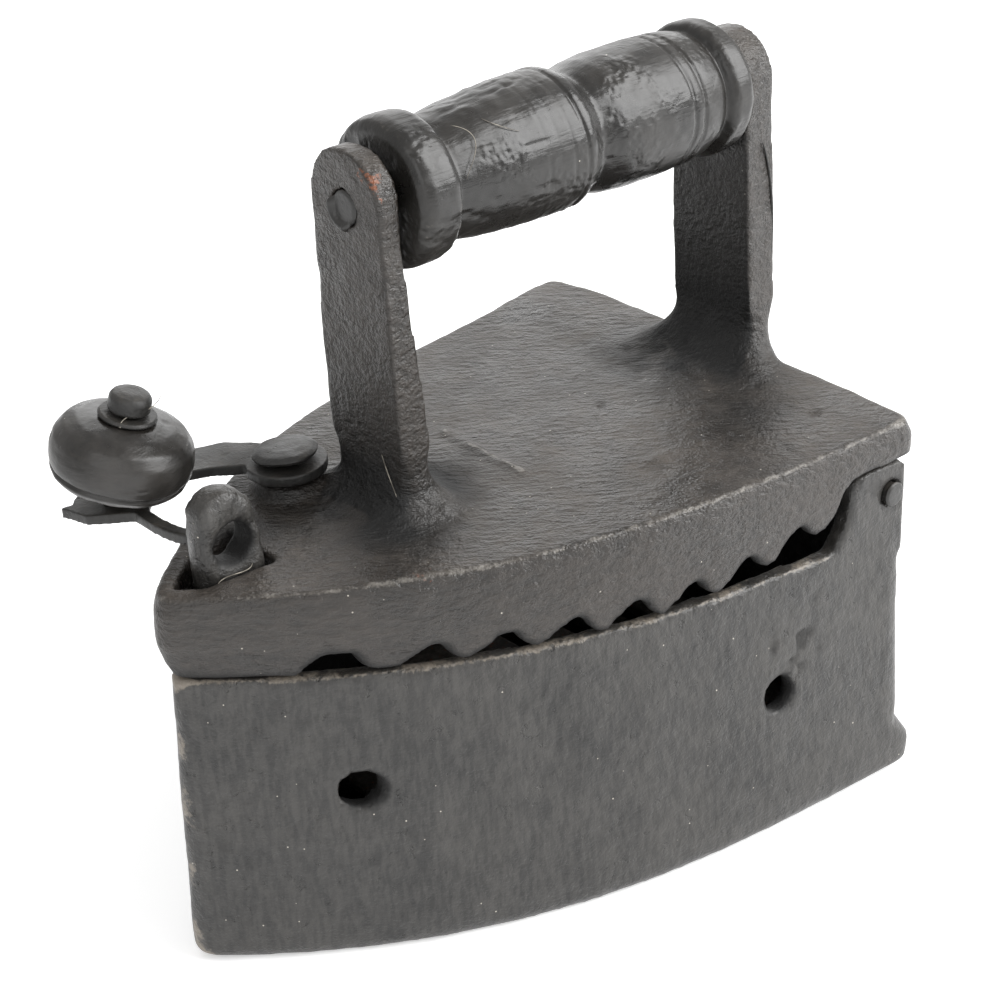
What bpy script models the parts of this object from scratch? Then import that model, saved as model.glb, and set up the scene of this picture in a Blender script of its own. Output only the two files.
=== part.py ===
"""Charcoal box iron: a hollow cast body, a hinged lid that carries the handle, a swinging hook
latch with a turned knob, and a loose fire grate.

Metres, +Z up. The nose points to -X and the flat heel to +X. The origin lies on the sole's
underside, below the middle of the lid's length. Every level of the two castings is the same
pointed plan, so one function makes it from the nose, heel and half width of that level.
"""

import math

import bmesh
import bpy
from mathutils import Matrix, Vector

# ---- Driving dimensions ----
LID_TOP = 0.1014
LID_UNDERSIDE = 0.0938
LID_HALF_WIDTH = 0.0661
RIM_AT_NOSE = 0.0795
RIM_SLOPE = -0.05
SOLE_THICKNESS = 0.012
WALL = 0.0050
GAP = 0.0003

NOSE_SPREAD = 1.0
HEEL_SPREAD = 0.10
SIDE_STEPS = (0.05, 0.11, 0.18, 0.26, 0.35, 0.45, 0.55, 0.65, 0.75, 0.84, 0.92)
HEEL_STEPS = (-0.66, -0.33, 0.0, 0.33, 0.66)

PIN_X = 0.0835
PIN_Z = 0.0820
PIN_RADIUS = 0.0029
BARREL_RADIUS = 0.0062
EAR_TOP = 0.0905

LUG_FRONT = -0.0795
LUG_BACK = -0.0635
LUG_NEAR = -0.0035
LUG_FAR = 0.0040
LUG_TOP = 0.1215
EYE_X = -0.0714
EYE_Z = 0.1081
EYE_RADIUS = 0.0050

HANDLE_Y = -0.0015
GRIP_Z = 0.1754
GRIP_RADIUS = 0.0180
GRIP_UNDERSIDE = GRIP_Z - GRIP_RADIUS - 0.0010
ROD_RADIUS = 0.0040
FRONT_POST_X = -0.0315
REAR_POST_X = 0.0845
REAR_POST_END = 0.0945

PIVOT = Vector((-0.0396, 0.0205))
KNOB = Vector((-0.0797, 0.0334))
PLATE_BOTTOM = LID_TOP + 0.0050
PLATE_TOP = LID_TOP + 0.0075
HOOK_RADIUS = 0.0386
SHANK_RADIUS = 0.0026
KNOB_LEAN = Matrix.Rotation(math.radians(16.0), 3, Vector((0.6357, 0.7719, 0.0)))

TEETH = 7
FIRST_PEAK_X = -0.0422
TOOTH_PITCH = 0.01565
TOOTH_DEPTH = 0.0062
RISE_SHARE = 0.66


# ---- Materials ----
def material(name, colour, roughness, metallic):
    """A plain Principled material of one colour."""
    made = bpy.data.materials.new(name)
    made.use_nodes = True
    shader = made.node_tree.nodes["Principled BSDF"]
    shader.inputs["Base Color"].default_value = (*colour, 1.0)
    shader.inputs["Roughness"].default_value = roughness
    shader.inputs["Metallic"].default_value = metallic
    return made


# ---- Mesh helpers ----
def finish(name, bm, paint, pivot=(0.0, 0.0, 0.0)):
    """Turns a bmesh into an object whose origin is at pivot, with its normals facing out."""
    bmesh.ops.remove_doubles(bm, verts=bm.verts, dist=0.000002)
    bmesh.ops.recalc_face_normals(bm, faces=bm.faces)
    bmesh.ops.translate(bm, verts=bm.verts, vec=-Vector(pivot))
    mesh = bpy.data.meshes.new(name)
    bm.to_mesh(mesh)
    bm.free()
    obj = bpy.data.objects.new(name, mesh)
    obj.location = pivot
    bpy.context.scene.collection.objects.link(obj)
    if paint is not None:
        mesh.materials.append(paint)
        mesh.shade_smooth()
        mesh.set_sharp_from_angle(angle=math.radians(35))
    return obj


def loft(rings):
    """A closed solid through rings of equal length, its first and last ring filled."""
    bm = bmesh.new()
    rows = [[bm.verts.new(point) for point in ring] for ring in rings]
    count = len(rows[0])
    for low, high in zip(rows, rows[1:]):
        for i in range(count):
            j = (i + 1) % count
            bm.faces.new((low[i], low[j], high[j], high[i]))
    bm.faces.new(rows[0])
    bm.faces.new(rows[-1])
    return bm


def prism(points, low, high, axis="Z"):
    """A solid from a flat outline, carried from low to high along the named axis."""
    place = {
        "X": lambda p, d: (d, p[0], p[1]),
        "Y": lambda p, d: (p[0], d, p[1]),
        "Z": lambda p, d: (p[0], p[1], d),
    }[axis]
    return loft([[place(p, low) for p in points], [place(p, high) for p in points]])


def lathe(profile, centre, axis="Z", steps=32):
    """A turned solid: profile is (distance along the axis, radius) pairs from end to end."""
    bm = bmesh.new()
    rows = []
    for along, radius in profile:
        ring = []
        for i in range(steps):
            angle = 2 * math.pi * i / steps
            a, b = radius * math.cos(angle), radius * math.sin(angle)
            offset = {"X": (along, a, b), "Y": (b, along, a), "Z": (a, b, along)}[axis]
            ring.append(bm.verts.new(Vector(centre) + Vector(offset)))
        rows.append(ring)
    for low, high in zip(rows, rows[1:]):
        for i in range(steps):
            j = (i + 1) % steps
            bm.faces.new((low[i], low[j], high[j], high[i]))
    bm.faces.new(rows[0])
    bm.faces.new(rows[-1])
    return bm


def turned_ring(profile, centre, axis="Z", steps=32):
    """A turned solid with a bore: profile is a closed loop of (along, radius) pairs."""
    bm = lathe(profile, centre, axis, steps)
    bm.faces.ensure_lookup_table()
    ends = [face for face in bm.faces if len(face.verts) == steps]
    first, last = (list(face.verts) for face in ends)
    bmesh.ops.delete(bm, geom=ends, context="FACES_ONLY")
    for i in range(steps):
        j = (i + 1) % steps
        bm.faces.new((first[i], first[j], last[j], last[i]))
    return bm


def join(target, helper, operation):
    """Applies a Boolean with a helper mesh, then removes the helper."""
    modifier = target.modifiers.new(operation.title(), "BOOLEAN")
    modifier.operation = operation
    modifier.solver = "EXACT"
    modifier.object = helper
    graph = bpy.context.evaluated_depsgraph_get()
    mesh = bpy.data.meshes.new_from_object(target.evaluated_get(graph))
    target.modifiers.remove(modifier)
    target.data = mesh
    bpy.data.objects.remove(helper)


def add(target, bm):
    join(target, finish("helper", bm, None), "UNION")


def cut(target, bm):
    join(target, finish("helper", bm, None), "DIFFERENCE")


def shade(obj):
    obj.data.shade_smooth()
    obj.data.set_sharp_from_angle(angle=math.radians(35))


# ---- Outlines ----
def side(share, length, half):
    """Half width of the pointed plan at a share of its length: a cubic with set end slopes."""
    s2, s3 = share * share, share**3
    nose = length * NOSE_SPREAD * (s3 - 2 * s2 + share)
    heel = length * HEEL_SPREAD * (s3 - s2)
    return nose + heel + half * (3 * s2 - 2 * s3)


def half_width(x, tip, heel, half):
    return side((x - tip) / (heel - tip), heel - tip, half)


def rounded(points, radii, steps=4):
    """The outline with the corners named in radii turned to arcs."""
    made = []
    for i, point in enumerate(points):
        radius = radii.get(i)
        if radius is None:
            made.append(point)
            continue
        before = (points[i - 1] - point).normalized()
        after = (points[(i + 1) % len(points)] - point).normalized()
        opening = before.angle(after)
        reach = radius / math.tan(opening / 2)
        centre = point + (before + after).normalized() * radius / math.sin(opening / 2)
        start, end = point + before * reach - centre, point + after * reach - centre
        sweep = start.angle_signed(end)
        for step in range(steps + 1):
            turn = Matrix.Rotation(-sweep * step / steps, 2)
            made.append(centre + turn @ start)
    return made


def plan(tip, heel, half, nose, corner, bulge=0.0):
    """The pointed outline of one level, from the nose round the near side, heel and far side."""
    length = heel - tip
    near = [Vector((tip + s * length, -side(s, length, half))) for s in SIDE_STEPS]
    back = [Vector((heel + bulge * (1 - s * s), s * half)) for s in HEEL_STEPS]
    far = [Vector((p.x, -p.y)) for p in reversed(near)]
    points = [Vector((tip, 0.0)), *near, Vector((heel, -half)), *back, Vector((heel, half)), *far]
    near_corner = len(near) + 1
    far_corner = near_corner + len(back) + 1
    return rounded(points, {0: nose, near_corner: corner, far_corner: corner})


def level(outline, height):
    """Lifts an outline to a height, which is a number or a function of x."""
    rise = height if callable(height) else lambda x: height
    return [(p.x, p.y, rise(p.x)) for p in outline]


def rim(x):
    """Height of the joint between body and lid, which falls evenly towards the heel."""
    return RIM_AT_NOSE + RIM_SLOPE * (x + 0.090)


def circle(centre, radius, steps=24, start=0.0):
    return [
        (
            centre[0] + radius * math.cos(start + 2 * math.pi * i / steps),
            centre[1] + radius * math.sin(start + 2 * math.pi * i / steps),
        )
        for i in range(steps)
    ]


def arc(centre, radius, start, end, steps):
    """Points along an arc, its angles in degrees."""
    found = []
    for i in range(steps + 1):
        angle = math.radians(start + (end - start) * i / steps)
        found.append((centre[0] + radius * math.cos(angle), centre[1] + radius * math.sin(angle)))
    return found


# ---- Body ----
RIM_PLAN = {"tip": -0.0915, "heel": 0.0885, "half": 0.0652}
CAVITY_RIM = {"tip": -0.0843, "heel": 0.0835, "half": 0.0602}
CAVITY_FLOOR = {"tip": -0.0875, "heel": 0.0822, "half": 0.0650}


def ear(near):
    """One hinge ear: its side view follows the wall, with a round shoulder towards the nose."""
    outline = [(0.0640, 0.0640), (0.0655, 0.0735), (0.0683, 0.0775), (0.0700, 0.0830)]
    outline += arc((0.0742, 0.0862), EAR_TOP - 0.0862, 180, 90, 4)
    outline += arc((0.0852, 0.0872), EAR_TOP - 0.0872, 90, 0, 4)
    outline += [(0.0885, 0.0640)]
    bm = prism(outline, 0.0, WALL, "Y")
    for vert in bm.verts:
        across = half_width(vert.co.x, **RIM_PLAN) - vert.co.y
        vert.co.y = -across if near else across
    return bm


def build_body(paint):
    rings = [
        level(plan(-0.0935, 0.0875, 0.0690, 0.004, 0.004), 0.0),
        level(plan(-0.0968, 0.0898, 0.0712, 0.005, 0.005), 0.0028),
        level(plan(-0.0970, 0.0900, 0.0714, 0.005, 0.005), 0.0085),
        level(plan(-0.0964, 0.0876, 0.0707, 0.005, 0.008), 0.0150),
        level(plan(nose=0.004, corner=0.0035, **RIM_PLAN), rim),
        level(plan(nose=0.003, corner=0.0020, **CAVITY_RIM), rim),
        level(plan(nose=0.003, corner=0.0040, **CAVITY_FLOOR), SOLE_THICKNESS),
    ]
    body = finish("body", loft(rings), paint)
    for near in (True, False):
        add(body, ear(near))
    nose_block = [(-0.0870, 0.0), (-0.0640, -0.0200), (-0.0640, 0.0200)]
    add(body, prism(nose_block, 0.0600, 0.0745))
    lug = [(LUG_BACK, 0.0700), (LUG_BACK, 0.1075), (-0.0647, 0.1160)]
    lug += arc((-0.0724, 0.1139), LUG_TOP - 0.1139, 30, 150, 6)
    lug += [(-0.0798, 0.1130), (LUG_FRONT, 0.0700)]
    add(body, prism(lug, LUG_NEAR, LUG_FAR, "Y"))
    cut(body, prism(circle((EYE_X, EYE_Z), EYE_RADIUS), -0.02, 0.02, "Y"))
    for x, z in ((-0.0601, 0.0470), (0.0437, 0.0400)):
        cut(body, prism(circle((x, z), 0.0048, 20), -0.09, 0.09, "Y"))
    cut(body, prism(circle((PIN_X, PIN_Z), PIN_RADIUS + GAP), -0.09, 0.09, "Y"))
    shade(body)
    return body


# ---- Lid ----
def lid_edge(x):
    """Height of the skirt's lowest points: on the rim, then lifting off it towards the heel."""
    return rim(x) + GAP + 2.6 * max(0.0, x - 0.005) ** 2


def vent_line():
    """The skirt's lower edge in side view, from the first vent back past the heel."""
    first = [(-0.0692, 0.0), (-0.0645, 0.0060), (-0.0584, 0.0060), (-0.0563, 0.0010), (-0.0516, 0.0)]
    line = [(x, lid_edge(x) + rise) for x, rise in first]
    steps = 8
    for tooth in range(TEETH):
        peak = FIRST_PEAK_X + TOOTH_PITCH * tooth
        start = line[-1][0] if tooth == 0 else peak - TOOTH_PITCH * RISE_SHARE
        end = peak + TOOTH_PITCH * (1 - RISE_SHARE)
        for i in range(1, steps + 1):
            x = start + (end - start) * i / steps
            share = (x - start) / (peak - start) if x < peak else (end - x) / (end - peak)
            line.append((x, lid_edge(x) + TOOTH_DEPTH * (1 - math.cos(math.pi * share)) / 2))
    line += [(0.0600, 0.0800), (0.0636, 0.0835), (0.0655, 0.0865)]
    line += arc((0.0712, 0.0862), 0.0920 - 0.0862, 170, 90, 5)
    return line + [(0.1100, 0.0920)]


def post_outline(width_foot, width_head, head_z):
    """A post seen along the handle: straight sides that narrow into a round head."""
    left = [(HANDLE_Y - width_foot, LID_TOP - 0.003), (HANDLE_Y - width_foot, LID_TOP + 0.010)]
    left += [(HANDLE_Y - width_head - 0.0003, GRIP_UNDERSIDE)]
    right = [(2 * HANDLE_Y - y, z) for y, z in reversed(left)]
    return left + arc((HANDLE_Y, head_z - width_head), width_head, 180, 0, 12) + right


def foot(low_x, high_x, half_width_y, reach, back_reach, height):
    """The flared foot of a post: rounded sections that spread out on the lid in a hollow curve."""
    rings = []
    steps = 6
    for i in range(steps + 1):
        share = i / steps
        spread = (1 - share) ** 3
        x0, x1 = low_x - reach * spread, high_x + back_reach * spread
        y = half_width_y + reach * spread
        corners = [Vector((x0, -y)), Vector((x1, -y)), Vector((x1, y)), Vector((x0, y))]
        radius = 0.0012 + 0.6 * reach * spread
        outline = rounded(corners, dict.fromkeys(range(4), min(radius, 0.45 * (x1 - x0))))
        height_here = LID_TOP - 0.0010 + (height + 0.0010) * share
        rings.append([(p.x, p.y + HANDLE_Y, height_here) for p in outline])
    return loft(rings)


def post(front_x, foot_end, head_end, half_foot, head_z):
    """One handle post, whose back face leans in from foot_end to head_end below the grip."""
    made = finish("post", prism(post_outline(half_foot, 0.0125, head_z), front_x, foot_end, "X"), None)
    beyond = foot_end + 0.005
    spare = [(foot_end, LID_TOP), (head_end, GRIP_UNDERSIDE), (head_end, 0.2), (beyond, 0.2)]
    if head_end < foot_end:
        cut(made, prism([*spare, (beyond, LID_TOP)], -0.05, 0.05, "Y"))
    return made


def build_lid(paint):
    inner = {"heel": 0.0850, "half": 0.0607}
    rings = [
        level(plan(-0.0830, nose=0.003, corner=0.003, **inner), LID_UNDERSIDE),
        level(plan(-0.0840, nose=0.003, corner=0.003, **inner), lambda x: rim(x) + GAP),
        level(plan(-0.0912, 0.0890, 0.0661, 0.004, 0.003, 0.0036), lambda x: rim(x) + GAP),
        level(plan(-0.0950, 0.0900, 0.0668, 0.006, 0.004, 0.0044), 0.0890),
        level(plan(-0.0942, 0.0903, 0.0667, 0.006, 0.004, 0.0046), 0.0975),
        level(plan(-0.0925, 0.0888, 0.0656, 0.006, 0.004, 0.0046), LID_TOP),
    ]
    lid = finish("lid", loft(rings), paint)
    opening = [*vent_line(), (0.1100, 0.0500), (-0.0692, 0.0500)]
    cut(lid, prism(opening, -0.09, 0.09, "Y"))
    front = post(FRONT_POST_X, FRONT_POST_X + 0.0105, FRONT_POST_X + 0.0060, 0.0135, 0.1890)
    rear = post(REAR_POST_X, REAR_POST_END, REAR_POST_END, 0.0140, 0.1885)
    join(lid, front, "UNION")
    join(lid, rear, "UNION")
    add(lid, foot(FRONT_POST_X + GAP, FRONT_POST_X + 0.0098, 0.0131, 0.0070, 0.0120, 0.012))
    add(lid, foot(REAR_POST_X + GAP, REAR_POST_END - 0.0030, 0.0136, 0.0120, 0.0, 0.018))
    add(lid, prism(circle(PIVOT, 0.0085, 24), LID_TOP - 0.001, PLATE_BOTTOM - GAP))
    barrel = [(-0.0575, BARREL_RADIUS), (0.0575, BARREL_RADIUS)]
    add(lid, lathe(barrel, (PIN_X, 0.0, PIN_Z), "Y", 24))
    low_x, high_x = PIN_X - 0.0045, PIN_X + 0.0045
    web = [(low_x, PIN_Z), (high_x, PIN_Z), (high_x, 0.0960), (low_x, 0.0960)]
    add(lid, prism(web, -0.0570, 0.0570, "Y"))
    slot = [(-0.0862, 0.0008), (-0.0805, -0.0043), (-0.0620, -0.0060), (-0.0618, 0.0150)]
    slot += [(-0.0730, 0.0120), (-0.0825, 0.0042)]
    cut(lid, prism(slot, 0.0700, 0.1200))
    cut(lid, prism(circle((PIN_X, PIN_Z), PIN_RADIUS + GAP), -0.07, 0.07, "Y"))
    cut(lid, prism(circle((HANDLE_Y, GRIP_Z), ROD_RADIUS + GAP), -0.05, 0.12, "X"))
    cut(lid, prism(circle(PIVOT, SHANK_RADIUS + GAP), 0.0850, 0.1200))
    shade(lid)
    return lid


# ---- Handle ----
def grip_profile(low, high):
    """The turned handle along its length: end collars, two barrels and a bead by the waist."""
    length = high - low
    points = [(0.000, 0.0168), (0.015, GRIP_RADIUS), (0.105, GRIP_RADIUS), (0.120, 0.0172)]
    points += [(0.136, 0.0148), (0.240, 0.0160), (0.340, 0.0168), (0.417, 0.0172), (0.467, 0.0174)]
    points += [(0.490, 0.0170), (0.512, 0.0154), (0.528, 0.0147), (0.552, 0.0151), (0.590, 0.0160)]
    points += [(0.669, 0.0168), (0.812, 0.0168), (0.880, 0.0163), (0.910, 0.0156), (0.920, 0.0158)]
    points += [(0.930, 0.0170), (0.985, 0.0172), (1.000, 0.0162)]
    return [(low + share * length, radius) for share, radius in points]


def build_handle(wood, iron):
    low = FRONT_POST_X + 0.0090
    high = REAR_POST_X - 0.0005
    bore = ROD_RADIUS + 0.0005
    centre = (0.0, HANDLE_Y, GRIP_Z)
    profile = [(low, bore), *grip_profile(low, high), (high, bore)]
    grip = finish("grip", turned_ring(profile, centre, "X"), wood, centre)
    ends = [(FRONT_POST_X, ROD_RADIUS), (REAR_POST_END, ROD_RADIUS)]
    rod = finish("handle_rod", lathe(ends, centre, "X", 24), iron, centre)
    return grip, rod


# ---- Latch ----
def latch_outline():
    """The hook plate from above: pivot disc, neck, knob seat with a tail, and the hook arm."""
    tail = [Vector((-0.0905, 0.0395)), Vector((-0.0885, 0.0315))]
    outer = arc(PIVOT, HOOK_RADIUS + 0.0016, 174, 202, 8)
    tip = arc(PIVOT, HOOK_RADIUS, 203.5, 203.5, 1)[:1]
    inner = arc(PIVOT, HOOK_RADIUS - 0.0016, 202, 176, 8)
    opening = [(-0.0742, 0.0268), (-0.0700, 0.0318), (-0.0620, 0.0335), (-0.0550, 0.0300)]
    disc = arc(PIVOT, 0.0100, 150, 440, 20)
    neck = [(-0.0400, 0.0345), (-0.0450, 0.0395), (-0.0540, 0.0430), (-0.0660, 0.0440)]
    seat = arc(KNOB, 0.0098, 60, 145, 5)
    return [tuple(p) for p in tail] + outer + tip + inner + opening + disc + neck + seat


def leaning(bm, seat):
    """Tips what stands above the plate about the seat, as the bent spindle holds the knob."""
    above = [vert for vert in bm.verts if vert.co.z > PLATE_TOP + 2 * GAP]
    bmesh.ops.rotate(bm, verts=above, cent=seat, matrix=KNOB_LEAN)
    return bm


def build_latch(iron, wood):
    pivot = (*PIVOT, PLATE_BOTTOM)
    seat = (*KNOB, PLATE_TOP)
    plate = finish("latch_plate", prism(latch_outline(), PLATE_BOTTOM, PLATE_TOP), iron, pivot)
    cut(plate, prism(circle(PIVOT, SHANK_RADIUS + GAP), 0.0, 0.2))
    cut(plate, prism(circle(KNOB, SHANK_RADIUS + GAP), 0.0, 0.2))
    shade(plate)
    head = PLATE_TOP + GAP
    rivet = [(LID_UNDERSIDE - 0.0020, 0.0040), (LID_UNDERSIDE - GAP, 0.0045)]
    rivet += [(LID_UNDERSIDE - GAP, SHANK_RADIUS), (head, SHANK_RADIUS), (head, 0.0078)]
    rivet += [(head + 0.0012, 0.0080), (head + 0.0026, 0.0062), (head + 0.0030, 0.0030)]
    finish("latch_rivet", lathe(rivet, (*PIVOT, 0.0)), iron)
    bun = [(0.0020, 0.0030), (0.0020, 0.0060), (0.0026, 0.0076), (0.0046, 0.0082), (0.0056, 0.0094)]
    bun += [(0.0068, 0.0125), (0.0084, 0.0153), (0.0094, 0.0160), (0.0098, 0.0157), (0.0104, 0.0163)]
    bun += [(0.0130, 0.0165), (0.0164, 0.0156), (0.0194, 0.0130), (0.0212, 0.0095)]
    bun += [(0.0218, 0.0060), (0.0219, 0.0030)]
    finish("latch_knob", leaning(turned_ring(bun, seat, steps=40), seat), wood, seat)
    washer = [(0.0222, 0.0030), (0.0222, 0.0066), (0.0227, 0.0069), (0.0234, 0.0064), (0.0234, 0.0030)]
    finish("knob_washer", leaning(turned_ring(washer, seat), seat), iron, seat)
    under = PLATE_BOTTOM - PLATE_TOP
    spindle = [(under - 0.0016, 0.0034), (under - 0.0014, 0.0044), (under - GAP, 0.0046)]
    spindle += [(under - GAP, SHANK_RADIUS), (GAP, SHANK_RADIUS), (0.0014, SHANK_RADIUS)]
    spindle += [(0.0237, SHANK_RADIUS), (0.0237, 0.0040), (0.0244, 0.0046), (0.0266, 0.0047)]
    spindle += [(0.0281, 0.0040), (0.0287, 0.0024)]
    finish("knob_spindle", leaning(lathe(spindle, seat), seat), iron, seat)


# ---- Hinge pin and fire grate ----
def build_pin(paint):
    ends = [(-0.0656, PIN_RADIUS), (0.0656, PIN_RADIUS)]
    return finish("hinge_pin", lathe(ends, (PIN_X, 0.0, PIN_Z), "Y", 24), paint, (PIN_X, 0.0, PIN_Z))


def build_grate(paint):
    """A loose grate: a flat plate with air slots, standing on four short legs."""
    tip, heel, half = -0.0740, 0.0800, 0.0560
    outline = [p for p in plan(tip, heel, half, 0.003, 0.006) if p.x > -0.0610]
    low, high = 0.0205, 0.0240
    grate = finish("fire_grate", prism([tuple(p) for p in outline], low, high), paint)
    for x in (-0.040, 0.068):
        for way in (-1, 1):
            y = way * (half_width(x, tip, heel, half) - 0.009)
            add(grate, prism(circle((x, y), 0.0035, 12), SOLE_THICKNESS + GAP, high - 0.001))
    slots = 8
    for i in range(slots):
        x = -0.045 + i * 0.0155
        reach = half_width(x, tip, heel, half) - 0.0145
        across = [(x - 0.003, -reach), (x + 0.003, -reach), (x + 0.003, reach), (x - 0.003, reach)]
        cut(grate, prism(across, 0.0, 0.05))
    shade(grate)
    return grate


def main():
    for obj in list(bpy.data.objects):
        bpy.data.objects.remove(obj)
    iron = material("black_cast_iron", (0.035, 0.033, 0.031), 0.55, 0.35)
    lid_iron = material("brown_black_iron", (0.045, 0.040, 0.036), 0.55, 0.35)
    steel = material("dark_forged_iron", (0.040, 0.038, 0.036), 0.45, 0.6)
    wood = material("black_painted_wood", (0.020, 0.019, 0.018), 0.35, 0.0)
    build_body(iron)
    build_lid(lid_iron)
    build_handle(wood, steel)
    build_latch(steel, wood)
    build_pin(steel)
    build_grate(iron)


main()
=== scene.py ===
"""Finished look of a charcoal box iron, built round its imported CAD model.

The cast pieces start from their CAD shapes: each is remeshed finely, relaxed, and given the waves,
grain and pits of a sand mould. The turned pieces are profiles carried round an axis. Every piece
gets a node material made from a few shared effects: mould skin, brushed paint, edge wear, dust
and rust. Lengths are metres, +Z is up, and the nose of the iron points to -X.
"""

import logging
import math
from dataclasses import dataclass
from enum import Enum

import bmesh
import bpy
import numpy as np
from mathutils import Matrix, Vector


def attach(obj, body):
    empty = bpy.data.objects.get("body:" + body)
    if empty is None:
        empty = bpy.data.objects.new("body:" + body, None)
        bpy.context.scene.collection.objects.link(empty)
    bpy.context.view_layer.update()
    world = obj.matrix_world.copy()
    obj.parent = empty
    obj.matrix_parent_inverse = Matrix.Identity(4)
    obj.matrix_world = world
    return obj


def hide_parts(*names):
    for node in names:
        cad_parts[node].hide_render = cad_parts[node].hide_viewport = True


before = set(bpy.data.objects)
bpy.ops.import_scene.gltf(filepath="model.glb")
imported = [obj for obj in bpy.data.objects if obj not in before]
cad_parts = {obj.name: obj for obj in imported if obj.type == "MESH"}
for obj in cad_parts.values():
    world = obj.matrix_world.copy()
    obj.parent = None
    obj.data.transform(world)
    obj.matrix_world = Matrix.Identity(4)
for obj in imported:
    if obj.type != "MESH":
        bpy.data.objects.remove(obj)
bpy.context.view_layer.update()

Array = np.ndarray
Colour = tuple[float, float, float]
Triple = tuple[float, float, float]
Outline = tuple[tuple[float, float], ...]
Socket = bpy.types.NodeSocket

log = logging.getLogger("box_iron")

MM = 0.001

LID_TOP = 0.1014
LID_UNDERSIDE = 0.0938
RIM_AT_NOSE = 0.0795
RIM_SLOPE = -0.05
HANDLE_Y = -0.0015
ROD = (HANDLE_Y, 0.1754)
POST_FACE_X = -0.0315
PIVOT = (-0.0396, 0.0205)
KNOB = (-0.0797, 0.0334)
PLATE_TOP = 0.1089
PIN_X = 0.0835
PIN_Z = 0.0820
KNOB_LEAN = math.radians(16.0)
KNOB_LEAN_AXIS = (0.6357, 0.7719, 0.0)

RUSTY = (0.16, 0.050, 0.018)
SOOT_AND_SHADE_BLACK = (0.0035, 0.0033, 0.0031)
# Near-black for real soot, and also for painted shade in the air holes, the lug's eye, about the
# lid's posts and on the posts' faces towards the nose.
SPECKLED = (0.42, 0.39, 0.34)


class Slot(Enum):
    """The record's material slots."""

    BODY = "cast_body"
    LID = "cast_lid"
    LATCH = "latch_iron"
    FORGED = "forged_iron"
    WOOD = "painted_wood"
    GRATE = "grate_iron"


class Axis(Enum):
    """The axis that a turned piece is carried round: its own direction, then the two across it."""

    X = ((1.0, 0.0, 0.0), (0.0, 1.0, 0.0), (0.0, 0.0, 1.0))
    Y = ((0.0, 1.0, 0.0), (0.0, 0.0, 1.0), (1.0, 0.0, 0.0))
    Z = ((0.0, 0.0, 1.0), (1.0, 0.0, 0.0), (0.0, 1.0, 0.0))


# ---- Numbers on whole arrays ----
def smoothstep(low: float, high: float, values: Array) -> Array:
    """A share that climbs from 0 at low to 1 at high as 3t^2 - 2t^3."""
    share = np.clip((values - low) / (high - low), 0.0, 1.0)
    return share * share * (3.0 - 2.0 * share)


def lattice_noise(points: Array, size: float | Triple, seed: int) -> Array:
    """Smooth random values from -1 to 1.

    Each corner of a lattice gets a hashed value, and a point blends the eight corners round it by
    the smoothstep of its place in the cell.

    Args:
        points: Places, one a row.
        size: Length of a lattice cell, alike or along each axis.
        seed: Picks another set of corner values.

    Returns:
        One value a point.
    """
    scaled = points / np.asarray(size)
    base = np.floor(scaled).astype(np.int64)
    part = scaled - base
    part = part * part * (3.0 - 2.0 * part)
    total = np.zeros(len(points))
    for corner in np.ndindex(2, 2, 2):
        cell = base + np.array(corner)
        key = cell[:, 0] * 73856093 ^ cell[:, 1] * 19349663 ^ cell[:, 2] * 83492791
        key = key + seed * 1000003 & 0x7FFFFFFF
        key = (key ^ key >> 13) * 1274126177 & 0x7FFFFFFF
        value = ((key ^ key >> 16) & 0xFFFF) / 32767.5 - 1.0
        total += np.prod(np.where(corner, part, 1.0 - part), axis=1) * value
    return total


def layered_noise(points: Array, size: float, octaves: int, seed: int) -> Array:
    """Lattice noise plus finer layers, each with half the cell and half the height of the last."""
    layers = [lattice_noise(points, size / 2**i, seed + i) / 2**i for i in range(octaves)]
    return np.sum(layers, axis=0)


def mound(points: Array, centre: Triple, reach: Triple) -> Array:
    """A soft bell: e to the minus squared distance from the centre, measured in reaches."""
    away = (points - np.array(centre)) / np.array(reach)
    return np.exp(-np.sum(away * away, axis=1))


def apart(first: Array, second: Array, place: tuple[float, float]) -> Array:
    """Distance from a place in a plane, for points given by their two coordinates in it."""
    return np.hypot(first - place[0], second - place[1])


def rim(x: Array) -> Array:
    """Height of the joint between body and lid, which falls evenly towards the heel."""
    return RIM_AT_NOSE + RIM_SLOPE * (x + 0.090)


def segment_distance(points: Array, start: Triple, end: Triple) -> Array:
    """Distance of each point from a straight segment."""
    first, along = np.array(start), np.array(end) - np.array(start)
    share = np.clip((points - first) @ along / (along @ along), 0.0, 1.0)
    return np.linalg.norm(points - first - share[:, None] * along, axis=1)


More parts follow.
